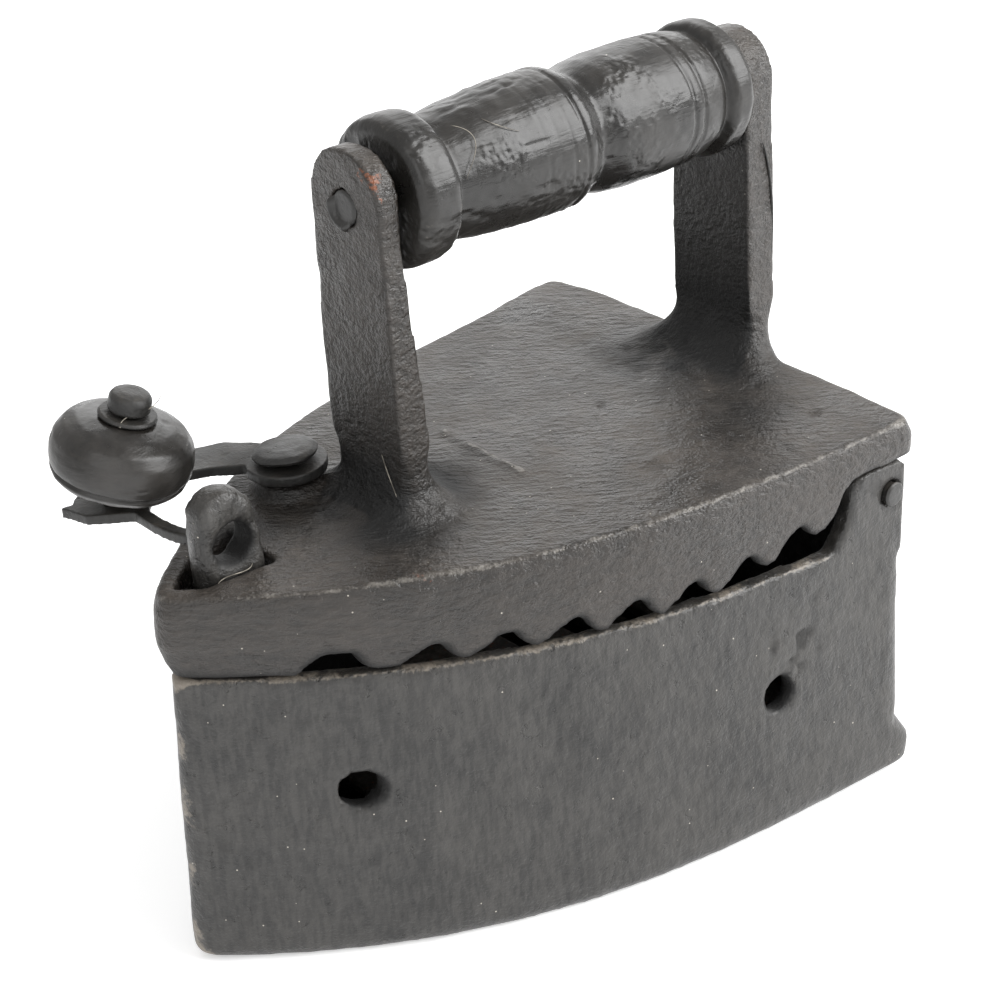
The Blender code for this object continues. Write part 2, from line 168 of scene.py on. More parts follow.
# ---- Meshes as arrays ----
@dataclass
class Net:
    """The points and edges of one mesh, as arrays.

    Args:
        mesh: The mesh that the arrays come from and go back to.
        points: Places, one a row.
        edges: Two point numbers a row.
    """

    mesh: bpy.types.Mesh
    points: Array
    edges: Array

    @classmethod
    def read(cls, mesh: bpy.types.Mesh) -> "Net":
        """Reads a mesh's points and edges."""
        points = np.empty(len(mesh.vertices) * 3)
        mesh.vertices.foreach_get("co", points)
        edges = np.empty(len(mesh.edges) * 2, np.int32)
        mesh.edges.foreach_get("vertices", edges)
        return cls(mesh, points.reshape(-1, 3), edges.reshape(-1, 2))

    def write(self) -> None:
        """Puts the points back into the mesh."""
        self.mesh.vertices.foreach_set("co", self.points.ravel())
        self.mesh.update()

    def normals(self) -> Array:
        """Writes the points, then returns each point's outward direction."""
        self.write()
        found = np.empty(len(self.points) * 3)
        self.mesh.vertex_normals.foreach_get("vector", found)
        return found.reshape(-1, 3)

    def neighbour_mean(self, values: Array) -> Array:
        """The mean of each point's neighbours along edges, for one or more columns."""
        first, second = self.edges.T
        count = len(self.points)
        degree = np.bincount(self.edges.ravel(), minlength=count)
        ends = ((first, second), (second, first))
        columns = [
            sum(np.bincount(here, values[there, k], count) for here, there in ends)
            for k in range(values.shape[1])
        ]
        return np.stack(columns, axis=1) / degree[:, None]

    def relax(self, passes: int, pull: float = 0.5, push: float = 0.53) -> None:
        """Moves points towards their neighbours' mean and back, which smooths but keeps volume."""
        for step in range(passes):
            share = pull if step % 2 == 0 else -push
            self.points = self.points + share * (self.neighbour_mean(self.points) - self.points)

    def soften(self, share: Array, passes: int) -> None:
        """Moves points towards their neighbours' mean by a share of their own."""
        for _ in range(passes):
            pull = self.neighbour_mean(self.points) - self.points
            self.points = self.points + 0.6 * share[:, None] * pull

    def convexity(self, passes: int, scale: float) -> Array:
        """How far each point stands out of a well smoothed copy, as a share of scale."""
        smooth = self.points
        for _ in range(passes):
            smooth = smooth + 0.6 * (self.neighbour_mean(smooth) - smooth)
        stand_out = np.sum((self.points - smooth) * self.normals(), axis=1)
        return np.clip(stand_out / scale, -1.0, 1.0)

    def store(self, name: str, values: Array) -> None:
        """Keeps a number a point under a name that materials read."""
        kept = self.mesh.attributes.new(name, "FLOAT", "POINT")
        kept.data.foreach_set("value", values.astype(np.float32))


def grid_quads(rows: int, columns: int, wrap_rows: bool) -> Array:
    """Quads of a grid of points that closes on itself across, and along too if asked."""
    along = np.arange(rows if wrap_rows else rows - 1)
    low, across = np.meshgrid(along, np.arange(columns), indexing="ij")
    high, beside = (low + 1) % rows, (across + 1) % columns
    corners = [low * columns + across, low * columns + beside, high * columns + beside]
    return np.stack([*corners, high * columns + across], axis=-1).reshape(-1, 4)


def mesh_of(name: str, points: Array, quads: Array, triangles: Array) -> bpy.types.Mesh:
    """A mesh from arrays of points, quads and triangles."""
    mesh = bpy.data.meshes.new(name)
    loops = np.concatenate([quads.ravel(), triangles.ravel()]).astype(np.int32)
    sizes = np.concatenate([np.full(len(quads), 4), np.full(len(triangles), 3)]).astype(np.int32)
    mesh.vertices.add(len(points))
    mesh.vertices.foreach_set("co", points.ravel().astype(np.float32))
    mesh.loops.add(len(loops))
    mesh.loops.foreach_set("vertex_index", loops)
    mesh.polygons.add(len(sizes))
    starts = np.concatenate([[0], np.cumsum(sizes)[:-1]]).astype(np.int32)
    mesh.polygons.foreach_set("loop_start", starts)
    mesh.update(calc_edges=True)
    mesh.validate()
    return mesh


def ringed(name: str, rings: Array, poles: Array | None) -> Net:
    """A net over rings of points, facing outwards.

    Args:
        name: The mesh's name.
        rings: Places, by ring and by turn round the ring.
        poles: The two points that close the ends, or None if the last ring meets the first.

    Returns:
        The net.
    """
    count, around = rings.shape[:2]
    points = rings.reshape(-1, 3)
    triangles = np.empty((0, 3), np.int64)
    if poles is not None:
        points = np.vstack([points, poles])
        near = np.arange(around)
        far = near + (count - 1) * around
        start = np.stack([np.roll(near, -1), near, np.full(around, len(points) - 2)], axis=1)
        end = np.stack([far, np.roll(far, -1), np.full(around, len(points) - 1)], axis=1)
        triangles = np.vstack([start, end])
    net = Net.read(mesh_of(name, points, grid_quads(count, around, poles is None), triangles))
    if np.sum(net.normals() * (net.points - net.points.mean(axis=0))) < 0.0:
        net.mesh.flip_normals()
    return net


def merged_copy(node: str) -> bpy.types.Mesh:
    """A copy of a CAD node's mesh with its loose triangles joined."""
    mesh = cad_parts[node].data.copy()
    bm = bmesh.new()
    bm.from_mesh(mesh)
    bmesh.ops.remove_doubles(bm, verts=bm.verts, dist=0.000002)
    bm.to_mesh(mesh)
    bm.free()
    return mesh


def remeshed(mesh: bpy.types.Mesh, voxel: float) -> bpy.types.Mesh:
    """The same closed shape as an even net of quads, each about one voxel wide."""
    helper = bpy.data.objects.new("remesh_helper", mesh)
    bpy.context.scene.collection.objects.link(helper)
    modifier = helper.modifiers.new("Voxels", "REMESH")
    modifier.mode = "VOXEL"
    modifier.voxel_size = voxel
    graph = bpy.context.evaluated_depsgraph_get()
    made = bpy.data.meshes.new_from_object(helper.evaluated_get(graph))
    bpy.data.objects.remove(helper)
    return made


# ---- Shader nodes ----
class Sheet:
    """Short ways to place and join the nodes of one tree."""

    def __init__(self, tree: bpy.types.NodeTree) -> None:
        """Keeps the tree that the nodes go into."""
        self.tree = tree

    def place(self, kind: str, inputs: dict | None = None, **settings: object) -> bpy.types.Node:
        """Adds a node.

        Args:
            kind: Blender's name for the node type.
            inputs: A value or a socket for each named or numbered input.
            **settings: The node's own properties.

        Returns:
            The node.
        """
        node = self.tree.nodes.new(kind)
        for name, value in settings.items():
            setattr(node, name, value)
        for name, value in (inputs or {}).items():
            if isinstance(value, bpy.types.NodeSocket):
                self.tree.links.new(value, node.inputs[name])
            else:
                node.inputs[name].default_value = value
        return node

    def where(self) -> Socket:
        """Places in the object's own frame."""
        return self.place("ShaderNodeTexCoord").outputs["Object"]

    def noise(
        self, where: Socket, scale: float | Socket, detail: float, rough: float = 0.55
    ) -> Socket:
        """Fractal noise from 0 to 1, with about scale features a metre."""
        inputs = {"Vector": where, "Scale": scale, "Detail": detail, "Roughness": rough}
        return self.place("ShaderNodeTexNoise", inputs).outputs["Fac"]

    def calc(self, operation: str, first: float | Socket, second: float | Socket = 0.0) -> Socket:
        """One step of arithmetic."""
        node = self.place("ShaderNodeMath", {0: first, 1: second}, operation=operation)
        return node.outputs["Value"]

    def times(self, first: float | Socket, second: float | Socket) -> Socket:
        """The product of two values."""
        return self.calc("MULTIPLY", first, second)

    def plus(self, first: float | Socket, second: float | Socket) -> Socket:
        """The sum of two values."""
        return self.calc("ADD", first, second)

    def relief(self, height: Socket) -> Socket:
        """The normal of a surface with this height, in millimetres."""
        return self.place("ShaderNodeBump", {"Height": height, "Distance": MM}).outputs["Normal"]

    def put(self, into: bpy.types.Node, **values: Socket) -> bpy.types.NodeTree:
        """Joins each value to the input of its name, _ for a space, and gives back the tree."""
        for name, value in values.items():
            self.tree.links.new(value, into.inputs[name.replace("_", " ")])
        return self.tree

    def span(
        self, value: Socket, low: float, high: float, start: float = 0.0, end: float = 1.0
    ) -> Socket:
        """Carries low to start and high to end, and holds the ends."""
        inputs = {"Value": value, "From Min": low, "From Max": high, "To Min": start, "To Max": end}
        node = self.place("ShaderNodeMapRange", inputs, interpolation_type="SMOOTHSTEP")
        return node.outputs["Result"]

    def blend(self, share: Socket, first: Colour | Socket, second: Colour | Socket) -> Socket:
        """The first colour turning into the second as share goes from 0 to 1."""
        ends = [c if isinstance(c, bpy.types.NodeSocket) else (*c, 1.0) for c in (first, second)]
        node = self.place("ShaderNodeMix", {0: share, 6: ends[0], 7: ends[1]}, data_type="RGBA")
        return node.outputs[2]

    def attribute(self, name: str) -> Socket:
        """A number that the mesh keeps for each point."""
        return self.place("ShaderNodeAttribute", attribute_name=name).outputs["Fac"]

    def effect(self, effect: "Effect", **inputs: float | Socket | Triple) -> bpy.types.Node:
        """Places a shared effect, its inputs named with _ for a space."""
        node = self.place("ShaderNodeGroup", node_tree=effect.tree())
        for name, value in inputs.items():
            socket = node.inputs[name.replace("_", " ")]
            if isinstance(value, bpy.types.NodeSocket):
                self.tree.links.new(value, socket)
            else:
                socket.default_value = value
        return node


class Effect(Enum):
    """The surface effects that several materials share, each a node group built once."""

    MOULD_SKIN = "mould_skin"
    BRUSHED_PAINT = "brushed_paint"
    EDGE_WEAR = "edge_wear"
    DUST = "dust"
    RUST = "rust"

    def tree(self) -> bpy.types.NodeTree:
        """The group, made on its first use."""
        known = bpy.data.node_groups.get(self.value)
        return known or getattr(EffectMaker, self.value)(self.value)


class EffectMaker:
    """Builds the node group of each effect."""

    @staticmethod
    def start(name: str, inputs: dict[str, float | Triple], outputs: tuple[str, ...]) -> tuple:
        """An empty group.

        Args:
            name: The group's name.
            inputs: Each input's name and standing value, which also sets its type.
            outputs: Names of the numbers that it puts out.

        Returns:
            The sheet to place nodes with, the input sockets by name and the output node.
        """
        tree = bpy.data.node_groups.new(name, "ShaderNodeTree")
        for label, value in inputs.items():
            kind = "NodeSocketVector" if isinstance(value, tuple) else "NodeSocketFloat"
            tree.interface.new_socket(label, in_out="INPUT", socket_type=kind).default_value = value
        for label in outputs:
            tree.interface.new_socket(label, in_out="OUTPUT", socket_type="NodeSocketFloat")
        sheet = Sheet(tree)
        given = sheet.place("NodeGroupInput").outputs
        return sheet, given, sheet.place("NodeGroupOutput")

    @staticmethod
    def mould_skin(name: str) -> bpy.types.NodeTree:
        """Sand-cast grain: height in millimetres from two grains and pits, and a slow mottle."""
        inputs = {"Grain": 0.10, "Fine": 0.04, "Pits": 0.12, "Scale": 1.0}
        sheet, given, out = EffectMaker.start(name, inputs, ("Height", "Mottle"))
        sizes = {0: sheet.where(), "Scale": given["Scale"]}
        where = sheet.place("ShaderNodeVectorMath", sizes, operation="SCALE").outputs[0]
        grain = sheet.times(sheet.noise(where, 430.0, 3.0), given["Grain"])
        fine = sheet.times(sheet.noise(where, 1500.0, 2.0), given["Fine"])
        hollow = sheet.span(sheet.noise(where, 260.0, 4.0, 0.7), 0.60, 0.74)
        pits = sheet.times(hollow, given["Pits"])
        height = sheet.calc("SUBTRACT", sheet.plus(grain, fine), pits)
        mottle = sheet.span(sheet.noise(where, 48.0, 6.0, 0.65), 0.32, 0.68)
        return sheet.put(out, Height=height, Mottle=mottle)

    @staticmethod
    def brushed_paint(name: str) -> bpy.types.NodeTree:
        """Streaks of old paint: noise drawn out along one direction, as a height and a mask."""
        still, drawn_out = (0.0, 0.0, 0.0), (6.0, 1.0, 1.0)
        inputs = {"Turn": still, "Stretch": drawn_out, "Depth": 0.05, "Scale": 700.0}
        sheet, given, out = EffectMaker.start(name, inputs, ("Height", "Streak"))
        drawn = sheet.place(
            "ShaderNodeMapping",
            {"Vector": sheet.where(), "Rotation": given["Turn"], "Scale": given["Stretch"]},
            vector_type="TEXTURE",
        ).outputs["Vector"]
        streak = sheet.noise(drawn, given["Scale"], 3.0, 0.6)
        height = sheet.times(streak, given["Depth"])
        return sheet.put(out, Height=height, Streak=sheet.span(streak, 0.35, 0.65))

    @staticmethod
    def edge_wear(name: str) -> bpy.types.NodeTree:
        """Paint rubbed off proud edges: the stored convexity, broken up by two noises."""
        sheet, given, out = EffectMaker.start(name, {"Threshold": 0.45, "Breakup": 0.7}, ("Mask",))
        where = sheet.where()
        patches = sheet.calc("SUBTRACT", sheet.noise(where, 170.0, 5.0, 0.7), 0.5)
        flecks = sheet.calc("SUBTRACT", sheet.noise(where, 900.0, 2.0, 0.6), 0.5)
        broken = sheet.times(sheet.plus(patches, flecks), given["Breakup"])
        raised = sheet.plus(sheet.attribute("wear"), broken)
        lifted = sheet.calc("SUBTRACT", raised, given["Threshold"])
        return sheet.put(out, Mask=sheet.span(lifted, 0.0, 0.35))

    @staticmethod
    def dust(name: str) -> bpy.types.NodeTree:
        """Dust: a film where faces look up, and fine pale specks all over."""
        inputs = {"Film": 0.3, "Specks": 0.2}
        sheet, given, out = EffectMaker.start(name, inputs, ("Film", "Specks"))
        where = sheet.where()
        patches = sheet.span(sheet.noise(where, 75.0, 6.0, 0.7), 0.30, 0.75)
        film = sheet.times(sheet.times(patches, sheet.attribute("upward")), given["Film"])
        cells = sheet.place("ShaderNodeTexVoronoi", {"Vector": where, "Scale": 300.0})
        dots = sheet.span(cells.outputs["Distance"], 0.045, 0.075, 1.0, 0.0)
        channels = sheet.place("ShaderNodeSeparateColor", {"Color": cells.outputs["Color"]}).outputs
        chosen = sheet.calc("LESS_THAN", channels["Red"], given["Specks"])
        return sheet.put(out, Film=film, Specks=sheet.times(dots, chosen))

    @staticmethod
    def rust(name: str) -> bpy.types.NodeTree:
        """Rust flecks: a fine noise past a threshold that the stored rust number lowers."""
        sheet, given, out = EffectMaker.start(name, {"Cover": 0.0}, ("Mask",))
        where = sheet.where()
        flecks = sheet.noise(where, 420.0, 5.0, 0.72)
        lowered = sheet.times(sheet.plus(sheet.attribute("rust"), given["Cover"]), 0.35)
        raised = sheet.plus(flecks, lowered)
        return sheet.put(out, Mask=sheet.span(raised, 0.78, 0.88))


# ---- Finishes ----
def started(name: str) -> tuple[bpy.types.Material, Sheet, bpy.types.Node]:
    """A new material, the sheet to place its nodes with and its shader."""
    made = bpy.data.materials.new(name)
    made.use_nodes = True
    return made, Sheet(made.node_tree), made.node_tree.nodes["Principled BSDF"]


@dataclass(frozen=True)
class IronFinish:
    """Black paint on iron, with soot and painted shade where the mesh's stored number says.

    Args:
        name: The material's name.
        paint: Colour of the darker paint.
        faded: Colour where the paint has gone grey.
        bare: Colour of rubbed edges.
        dusty: Colour of the dust film.
        roughness: Lowest and highest roughness over the mottle.
        grain: Height of the mould grain, in millimetres.
        fine: Height of the finest grain, in millimetres.
        pits: Depth of the pits, in millimetres.
        streaks: Height of the brush streaks, in millimetres.
        turn: Rotation that lays the streaks' direction along their own X.
        stretch: How far the streaks are drawn out along each of their axes.
        film: Share of dust on faces that look up.
        specks: Share of cells that hold a pale speck.
        wear_threshold: Convexity at which edges start to show bare.
        rust_cover: Rust all over, from 0 to 1.
    """

    name: str
    paint: Colour = (0.0125, 0.0122, 0.0115)
    faded: Colour = (0.024, 0.0232, 0.0215)
    bare: Colour = (0.150, 0.138, 0.122)
    dusty: Colour = (0.120, 0.103, 0.084)
    roughness: tuple[float, float] = (0.30, 0.46)
    grain: float = 0.24
    fine: float = 0.10
    pits: float = 0.20
    streaks: float = 0.05
    turn: Triple = (0.0, 0.0, 0.0)
    stretch: Triple = (1.0, 1.0, 4.0)
    film: float = 0.30
    specks: float = 0.10
    wear_threshold: float = 0.62
    rust_cover: float = 0.0

    def material(self) -> bpy.types.Material:
        """Builds the material: mottled paint, then dust, rubbed edges, rust and specks over it,
        then soot and painted shade.
        """
        made, sheet, shader = started(self.name)
        skin = sheet.effect(Effect.MOULD_SKIN, Grain=self.grain, Fine=self.fine, Pits=self.pits)
        brush = sheet.effect(
            Effect.BRUSHED_PAINT, Turn=self.turn, Stretch=self.stretch, Depth=self.streaks
        )
        wear = sheet.effect(Effect.EDGE_WEAR, Threshold=self.wear_threshold).outputs["Mask"]
        dust = sheet.effect(Effect.DUST, Film=self.film, Specks=self.specks)
        rust = sheet.effect(Effect.RUST, Cover=self.rust_cover).outputs["Mask"]
        mottle = skin.outputs["Mottle"]
        patchy = sheet.times(sheet.plus(mottle, brush.outputs["Streak"]), 0.5)
        colour = sheet.blend(patchy, self.paint, self.faded)
        hollows = sheet.span(brush.outputs["Streak"], 0.0, 1.0, 1.25, 0.45)
        film = sheet.times(dust.outputs["Film"], hollows)
        colour = sheet.blend(film, colour, self.dusty)
        colour = sheet.blend(wear, colour, self.bare)
        colour = sheet.blend(rust, colour, RUSTY)
        colour = sheet.blend(dust.outputs["Specks"], colour, SPECKLED)
        # One stored number darkens real soot and also paints shade into holes, the lug's eye and
        # about the lid's posts.
        soot_and_shade = sheet.attribute("soot_and_shade")
        colour = sheet.blend(soot_and_shade, colour, SOOT_AND_SHADE_BLACK)
        rough = sheet.span(mottle, 0.0, 1.0, *self.roughness)
        rough = sheet.plus(rough, sheet.times(soot_and_shade, 0.30))
        rough = sheet.plus(rough, sheet.times(film, 0.35))
        height = sheet.plus(skin.outputs["Height"], brush.outputs["Height"])
        height = sheet.calc("SUBTRACT", height, sheet.times(wear, 0.03))
        sheet.put(shader, Base_Color=colour, Roughness=rough, Normal=sheet.relief(height))
        return made


@dataclass(frozen=True)
class PaintedWoodFinish:
    """Thick black paint on turned wood, crackled in patches.

    Args:
        name: The material's name.
        paint: Colour of the paint.
        faded: Colour where handling has greyed it.
        bare: Colour of rubbed ridges.
        roughness: Lowest and highest roughness.
        turn: Rotation that lays the grain's direction along its own X.
        stretch: How far the grain is drawn out along each of its axes.
        crackle: Depth of the wrinkles in the paint, in millimetres.
        specks: Share of cells that hold a pale speck.
    """

    name: str
    paint: Colour = (0.0080, 0.0075, 0.0068)
    faded: Colour = (0.019, 0.0175, 0.0155)
    bare: Colour = (0.110, 0.098, 0.084)
    roughness: tuple[float, float] = (0.26, 0.44)
    turn: Triple = (0.0, 0.0, 0.0)
    stretch: Triple = (9.0, 1.0, 1.0)
    crackle: float = 0.32
    specks: float = 0.07

    def material(self) -> bpy.types.Material:
        """Builds the material: glossy paint over drawn-out grain, wrinkled where a mask says so."""
        made, sheet, shader = started(self.name)
        grain = sheet.effect(
            Effect.BRUSHED_PAINT, Turn=self.turn, Stretch=self.stretch, Depth=0.10, Scale=1100.0
        )
        skin = sheet.effect(Effect.MOULD_SKIN, Grain=0.03, Fine=0.02, Pits=0.05)
        wear = sheet.effect(Effect.EDGE_WEAR, Threshold=0.62).outputs["Mask"]
        dust = sheet.effect(Effect.DUST, Film=0.10, Specks=self.specks)
        where = sheet.where()
        patches = sheet.span(sheet.noise(where, 70.0, 3.0), 0.48, 0.62)
        cells = {"Vector": where, "Scale": 620.0}
        wrinkle = sheet.place("ShaderNodeTexVoronoi", cells, feature="SMOOTH_F1")
        wrinkled = sheet.times(wrinkle.outputs["Distance"], patches)
        mottle = skin.outputs["Mottle"]
        colour = sheet.blend(mottle, self.paint, self.faded)
        colour = sheet.blend(dust.outputs["Film"], colour, (0.12, 0.10, 0.08))
        colour = sheet.blend(wear, colour, self.bare)
        colour = sheet.blend(dust.outputs["Specks"], colour, (0.45, 0.42, 0.37))
        rough = sheet.span(mottle, 0.0, 1.0, *self.roughness)
        height = sheet.plus(skin.outputs["Height"], grain.outputs["Height"])
        height = sheet.plus(height, sheet.times(wrinkled, self.crackle))
        sheet.put(shader, Base_Color=colour, Roughness=rough, Normal=sheet.relief(height))
        return made


@dataclass(frozen=True)
class FibreFinish:
    """Dusty pale fibre stuck to the paint.

    Args:
        name: The material's name.
        dark: Colour where it is dirty.
        pale: Colour where it is clean.
    """

    name: str
    dark: Colour = (0.11, 0.098, 0.082)
    pale: Colour = (0.34, 0.31, 0.26)

    def material(self) -> bpy.types.Material:
        """Builds the material: two colours along the fibre, all of it rough."""
        made, sheet, shader = started(self.name)
        share = sheet.span(sheet.noise(sheet.where(), 380.0, 2.0), 0.35, 0.65)
        sheet.put(shader, Base_Color=sheet.blend(share, self.dark, self.pale))
        shader.inputs["Roughness"].default_value = 0.85
        return made


@dataclass(frozen=True)
class Finishes:
    """One material for each kind of surface on the iron."""

    body: IronFinish = IronFinish(
        "sooty_and_shaded_cast_iron", paint=(0.0100, 0.0096, 0.0090), faded=(0.046, 0.0435, 0.0400),
        bare=(0.175, 0.152, 0.124), grain=0.45, fine=0.20, pits=0.34, film=0.25, specks=0.30,
    )
    lid: IronFinish = IronFinish(
        "dusty_lid_iron", paint=(0.0135, 0.0120, 0.0105), faded=(0.034, 0.0285, 0.0240),
        dusty=(0.120, 0.100, 0.082), roughness=(0.24, 0.40), turn=(0.0, 0.0, math.radians(-39.5)),
        stretch=(3.2, 1.0, 1.0), grain=0.50, fine=0.24, streaks=0.75, film=0.42, specks=0.34,
    )
    latch: IronFinish = IronFinish(
        "latch_iron", grain=0.14, pits=0.16, film=0.35, roughness=(0.42, 0.58)
    )
    forged: IronFinish = IronFinish("forged_rod_iron", grain=0.14, pits=0.10, rust_cover=0.05)
    grate: IronFinish = IronFinish(
        "ashy_grate_iron", faded=(0.050, 0.040, 0.032), dusty=(0.26, 0.24, 0.21), film=0.60,
        roughness=(0.62, 0.80), rust_cover=0.55,
    )
    grip: PaintedWoodFinish = PaintedWoodFinish("painted_grip_wood")
    knob: PaintedWoodFinish = PaintedWoodFinish(
        "painted_knob_wood", faded=(0.034, 0.031, 0.028), stretch=(4.0, 4.0, 1.0), crackle=0.05
    )
    fibre: FibreFinish = FibreFinish("stuck_fibre")


# ---- Pieces ----
@dataclass
class Piece:
    """One finished object of the iron.

    Args:
        name: The object's name.
        body: The CAD body that it moves with.
        slot: The record's material slot; not used.
        material: Its finished material.
        nodes: CAD nodes that it stands for.
    """

    name: str
    body: str
    slot: Slot
    material: bpy.types.Material
    nodes: tuple[str, ...] = ()

    def dress(self, net: Net) -> bpy.types.Object:
        """Stores the upward number, then makes the object and ties it to its body."""
        net.write()
        net.store("upward", smoothstep(0.35, 0.95, net.normals()[:, 2]))
        net.mesh.materials.clear()
        net.mesh.materials.append(self.material)
        net.mesh.shade_smooth()
        net.mesh.name = self.name
        obj = bpy.data.objects.new(self.name, net.mesh)
        bpy.context.scene.collection.objects.link(obj)
        if self.nodes:
            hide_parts(*self.nodes)
        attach(obj, self.body)
        log.info("%s: %d points on %s", self.name, len(net.points), self.body)
        return obj


@dataclass
class Casting(Piece):
    """A cast piece made from its CAD shape.

    Its skin is slow waves plus grain, along the surface's own direction, held back where the piece
    fits another.

    Args:
        voxel: Width of one face of the new net.
        seed: Picks this casting's noise.
        wave: Height of the slow waves.
        wave_size: Length of the slow waves.
        grain: Height of the grain.
        grain_size: Length of the grain.
        passes: How often the net is relaxed, which rounds its edges.
    """

    voxel: float = 0.001
    seed: int = 1
    wave: float = 0.00026
    wave_size: float = 0.024
    grain: float = 0.00010
    grain_size: float = 0.0030
    passes: int = 8

    def shape(self, net: Net) -> None:
        """The piece's own larger changes, before its skin."""

    def hold(self, points: Array) -> Array:
        """Share of the skin's height that each point gets."""
        return np.ones(len(points))

    def wear_zone(self, points: Array) -> Array:
        """How strongly edges are rubbed at each point."""
        return np.full(len(points), 0.7)

    def rust_zone(self, points: Array) -> Array:
        """How rusty each point is."""
        return np.zeros(len(points))

    def soot_and_shade_zone(self, points: Array, normals: Array) -> Array:
        """How sooty each point is, and how much shade is painted there."""
        return np.zeros(len(points))

    def settle(self, net: Net) -> None:
        """Last corrections after the skin."""

    def build(self) -> bpy.types.Object:
        """Remeshes the CAD shape, gives it its skin and dresses it."""
        net = Net.read(remeshed(merged_copy(self.nodes[0]), self.voxel))
        net.relax(self.passes)
        self.shape(net)
        normals = net.normals()
        depth = self.wave * layered_noise(net.points, self.wave_size, 3, self.seed)
        depth += self.grain * layered_noise(net.points, self.grain_size, 2, self.seed + 7)
        net.points = net.points + normals * (depth * self.hold(net.points))[:, None]
        self.settle(net)
        passes = max(6, round((0.0034 / self.voxel) ** 2))
        convexity = net.convexity(passes, 0.00055)
        net.store("wear", np.clip(convexity, 0.0, 1.0) * self.wear_zone(net.points))
        net.store("rust", self.rust_zone(net.points))
        # Soot and painted shade go into one stored number.
        net.store("soot_and_shade", np.clip(self.soot_and_shade_zone(net.points, net.normals()), 0.0, 1.0))
        return self.dress(net)


@dataclass
class BodyCasting(Casting):
    """The hollow body, with its rim, hinge ears and latch lug."""

    pitted: tuple[tuple[Triple, float], ...] = (
        ((0.0442, -0.0650, 0.0546), 0.0060),
        ((0.0505, -0.0650, 0.0500), 0.0070),
        ((0.0560, -0.0660, 0.0455), 0.0050),
        ((0.0580, -0.0670, 0.0600), 0.0045),
        ((-0.0880, -0.0100, 0.0300), 0.0060),
    )
    scratches: tuple[tuple[Triple, Triple], ...] = (
        ((0.0020, -0.0600, 0.0721), (0.0325, -0.0655, 0.0658)),
        ((0.0627, -0.0665, 0.0703), (0.0850, -0.0670, 0.0698)),
    )
    air_holes: Outline = ((-0.0601, 0.0470), (0.0437, 0.0400))
    eye: tuple[float, float] = (-0.0714, 0.1081)
    sole_top: float = 0.0135

    def pitting(self, points: Array) -> Array:
        """Share of a pit's depth at each point: dots of noise inside the pitted patches."""
        pits = smoothstep(0.10, 0.5, lattice_noise(points, 0.0030, 91))
        patch = sum(mound(points, centre, (reach,) * 3) for centre, reach in self.pitted)
        return pits * np.clip(patch, 0.0, 1.0)

    def shape(self, net: Net) -> None:
        """Rounds and swells the lug, sinks patches of pits and draws two scratches."""
        x, _, z = net.points.T
        lug = smoothstep(0.0920, 0.1000, z) * smoothstep(-0.0580, -0.0610, x)
        eye = apart(x, z, self.eye)
        net.soften(lug * smoothstep(0.0052, 0.0068, eye), 4)
        normals = net.normals()
        rough = layered_noise(net.points, 0.0034, 3, 17) * 0.00034 * lug
        swell = 0.00020 * lug * smoothstep(0.0050, 0.0075, eye)
        depth = rough + swell - 0.0010 * self.pitting(net.points)
        flat = np.array((1.0, 0.3, 1.0))
        for start, end in self.scratches:
            away = segment_distance(net.points * flat, start * flat, end * flat)
            dotted = smoothstep(-0.2, 0.4, lattice_noise(net.points, 0.0030, 92))
            depth -= 0.00035 * dotted * np.exp(-((away / 0.0009) ** 2))
        net.points = net.points + normals * depth[:, None]

    def hold(self, points: Array) -> Array:
        """Keeps the skin off the joint with the lid, the sole's face and the hinge ears."""
        x, _, z = points.T
        seam = smoothstep(0.0010, 0.0040, np.abs(z - rim(x)))
        sole = smoothstep(0.0002, 0.0030, z)
        ears = 1.0 - 0.8 * smoothstep(0.060, 0.066, x) * smoothstep(0.070, 0.076, z)
        return np.minimum(np.minimum(seam, sole), ears)

    def wear_zone(self, points: Array) -> Array:
        """The rim and the nose edge are rubbed most."""
        x, _, z = points.T
        on_rim = np.exp(-(((z - rim(x)) / 0.0022) ** 2))
        nose = smoothstep(-0.084, -0.092, x)
        return 0.46 + 0.38 * on_rim + 1.00 * nose * smoothstep(0.10, 0.09, z)

    def soot_and_shade_zone(self, points: Array, normals: Array) -> Array:
        """Soot lines the cavity and its floor; painted shade darkens the walls of the air holes and
        the lug's eye; the pitted patches darken too.
        """
        x, y, z = points.T
        inner = smoothstep(0.15, -0.25, normals[:, 1] * np.sign(y)) * (z > 0.010)
        floor = (z < self.sole_top) * (z > 0.0105) * (normals[:, 2] > 0.4) * (x < 0.080)
        # Painted shade on the walls of the air holes.
        holes = sum(smoothstep(0.0058, 0.0050, apart(x, z, at)) for at in self.air_holes)
        # Painted shade in the lug's eye, which is outside the fire.
        eye = smoothstep(0.0063, 0.0055, apart(x, z, self.eye))
        below_lid = z < rim(x) - 0.002
        holes = holes * (np.abs(normals[:, 1]) < 0.75)
        return inner * below_lid + floor + holes + eye + 0.55 * self.pitting(points)

    def settle(self, net: Net) -> None:
        """Keeps the sole's face flat on the ground."""
        net.points[:, 2] = np.maximum(net.points[:, 2], 0.0)


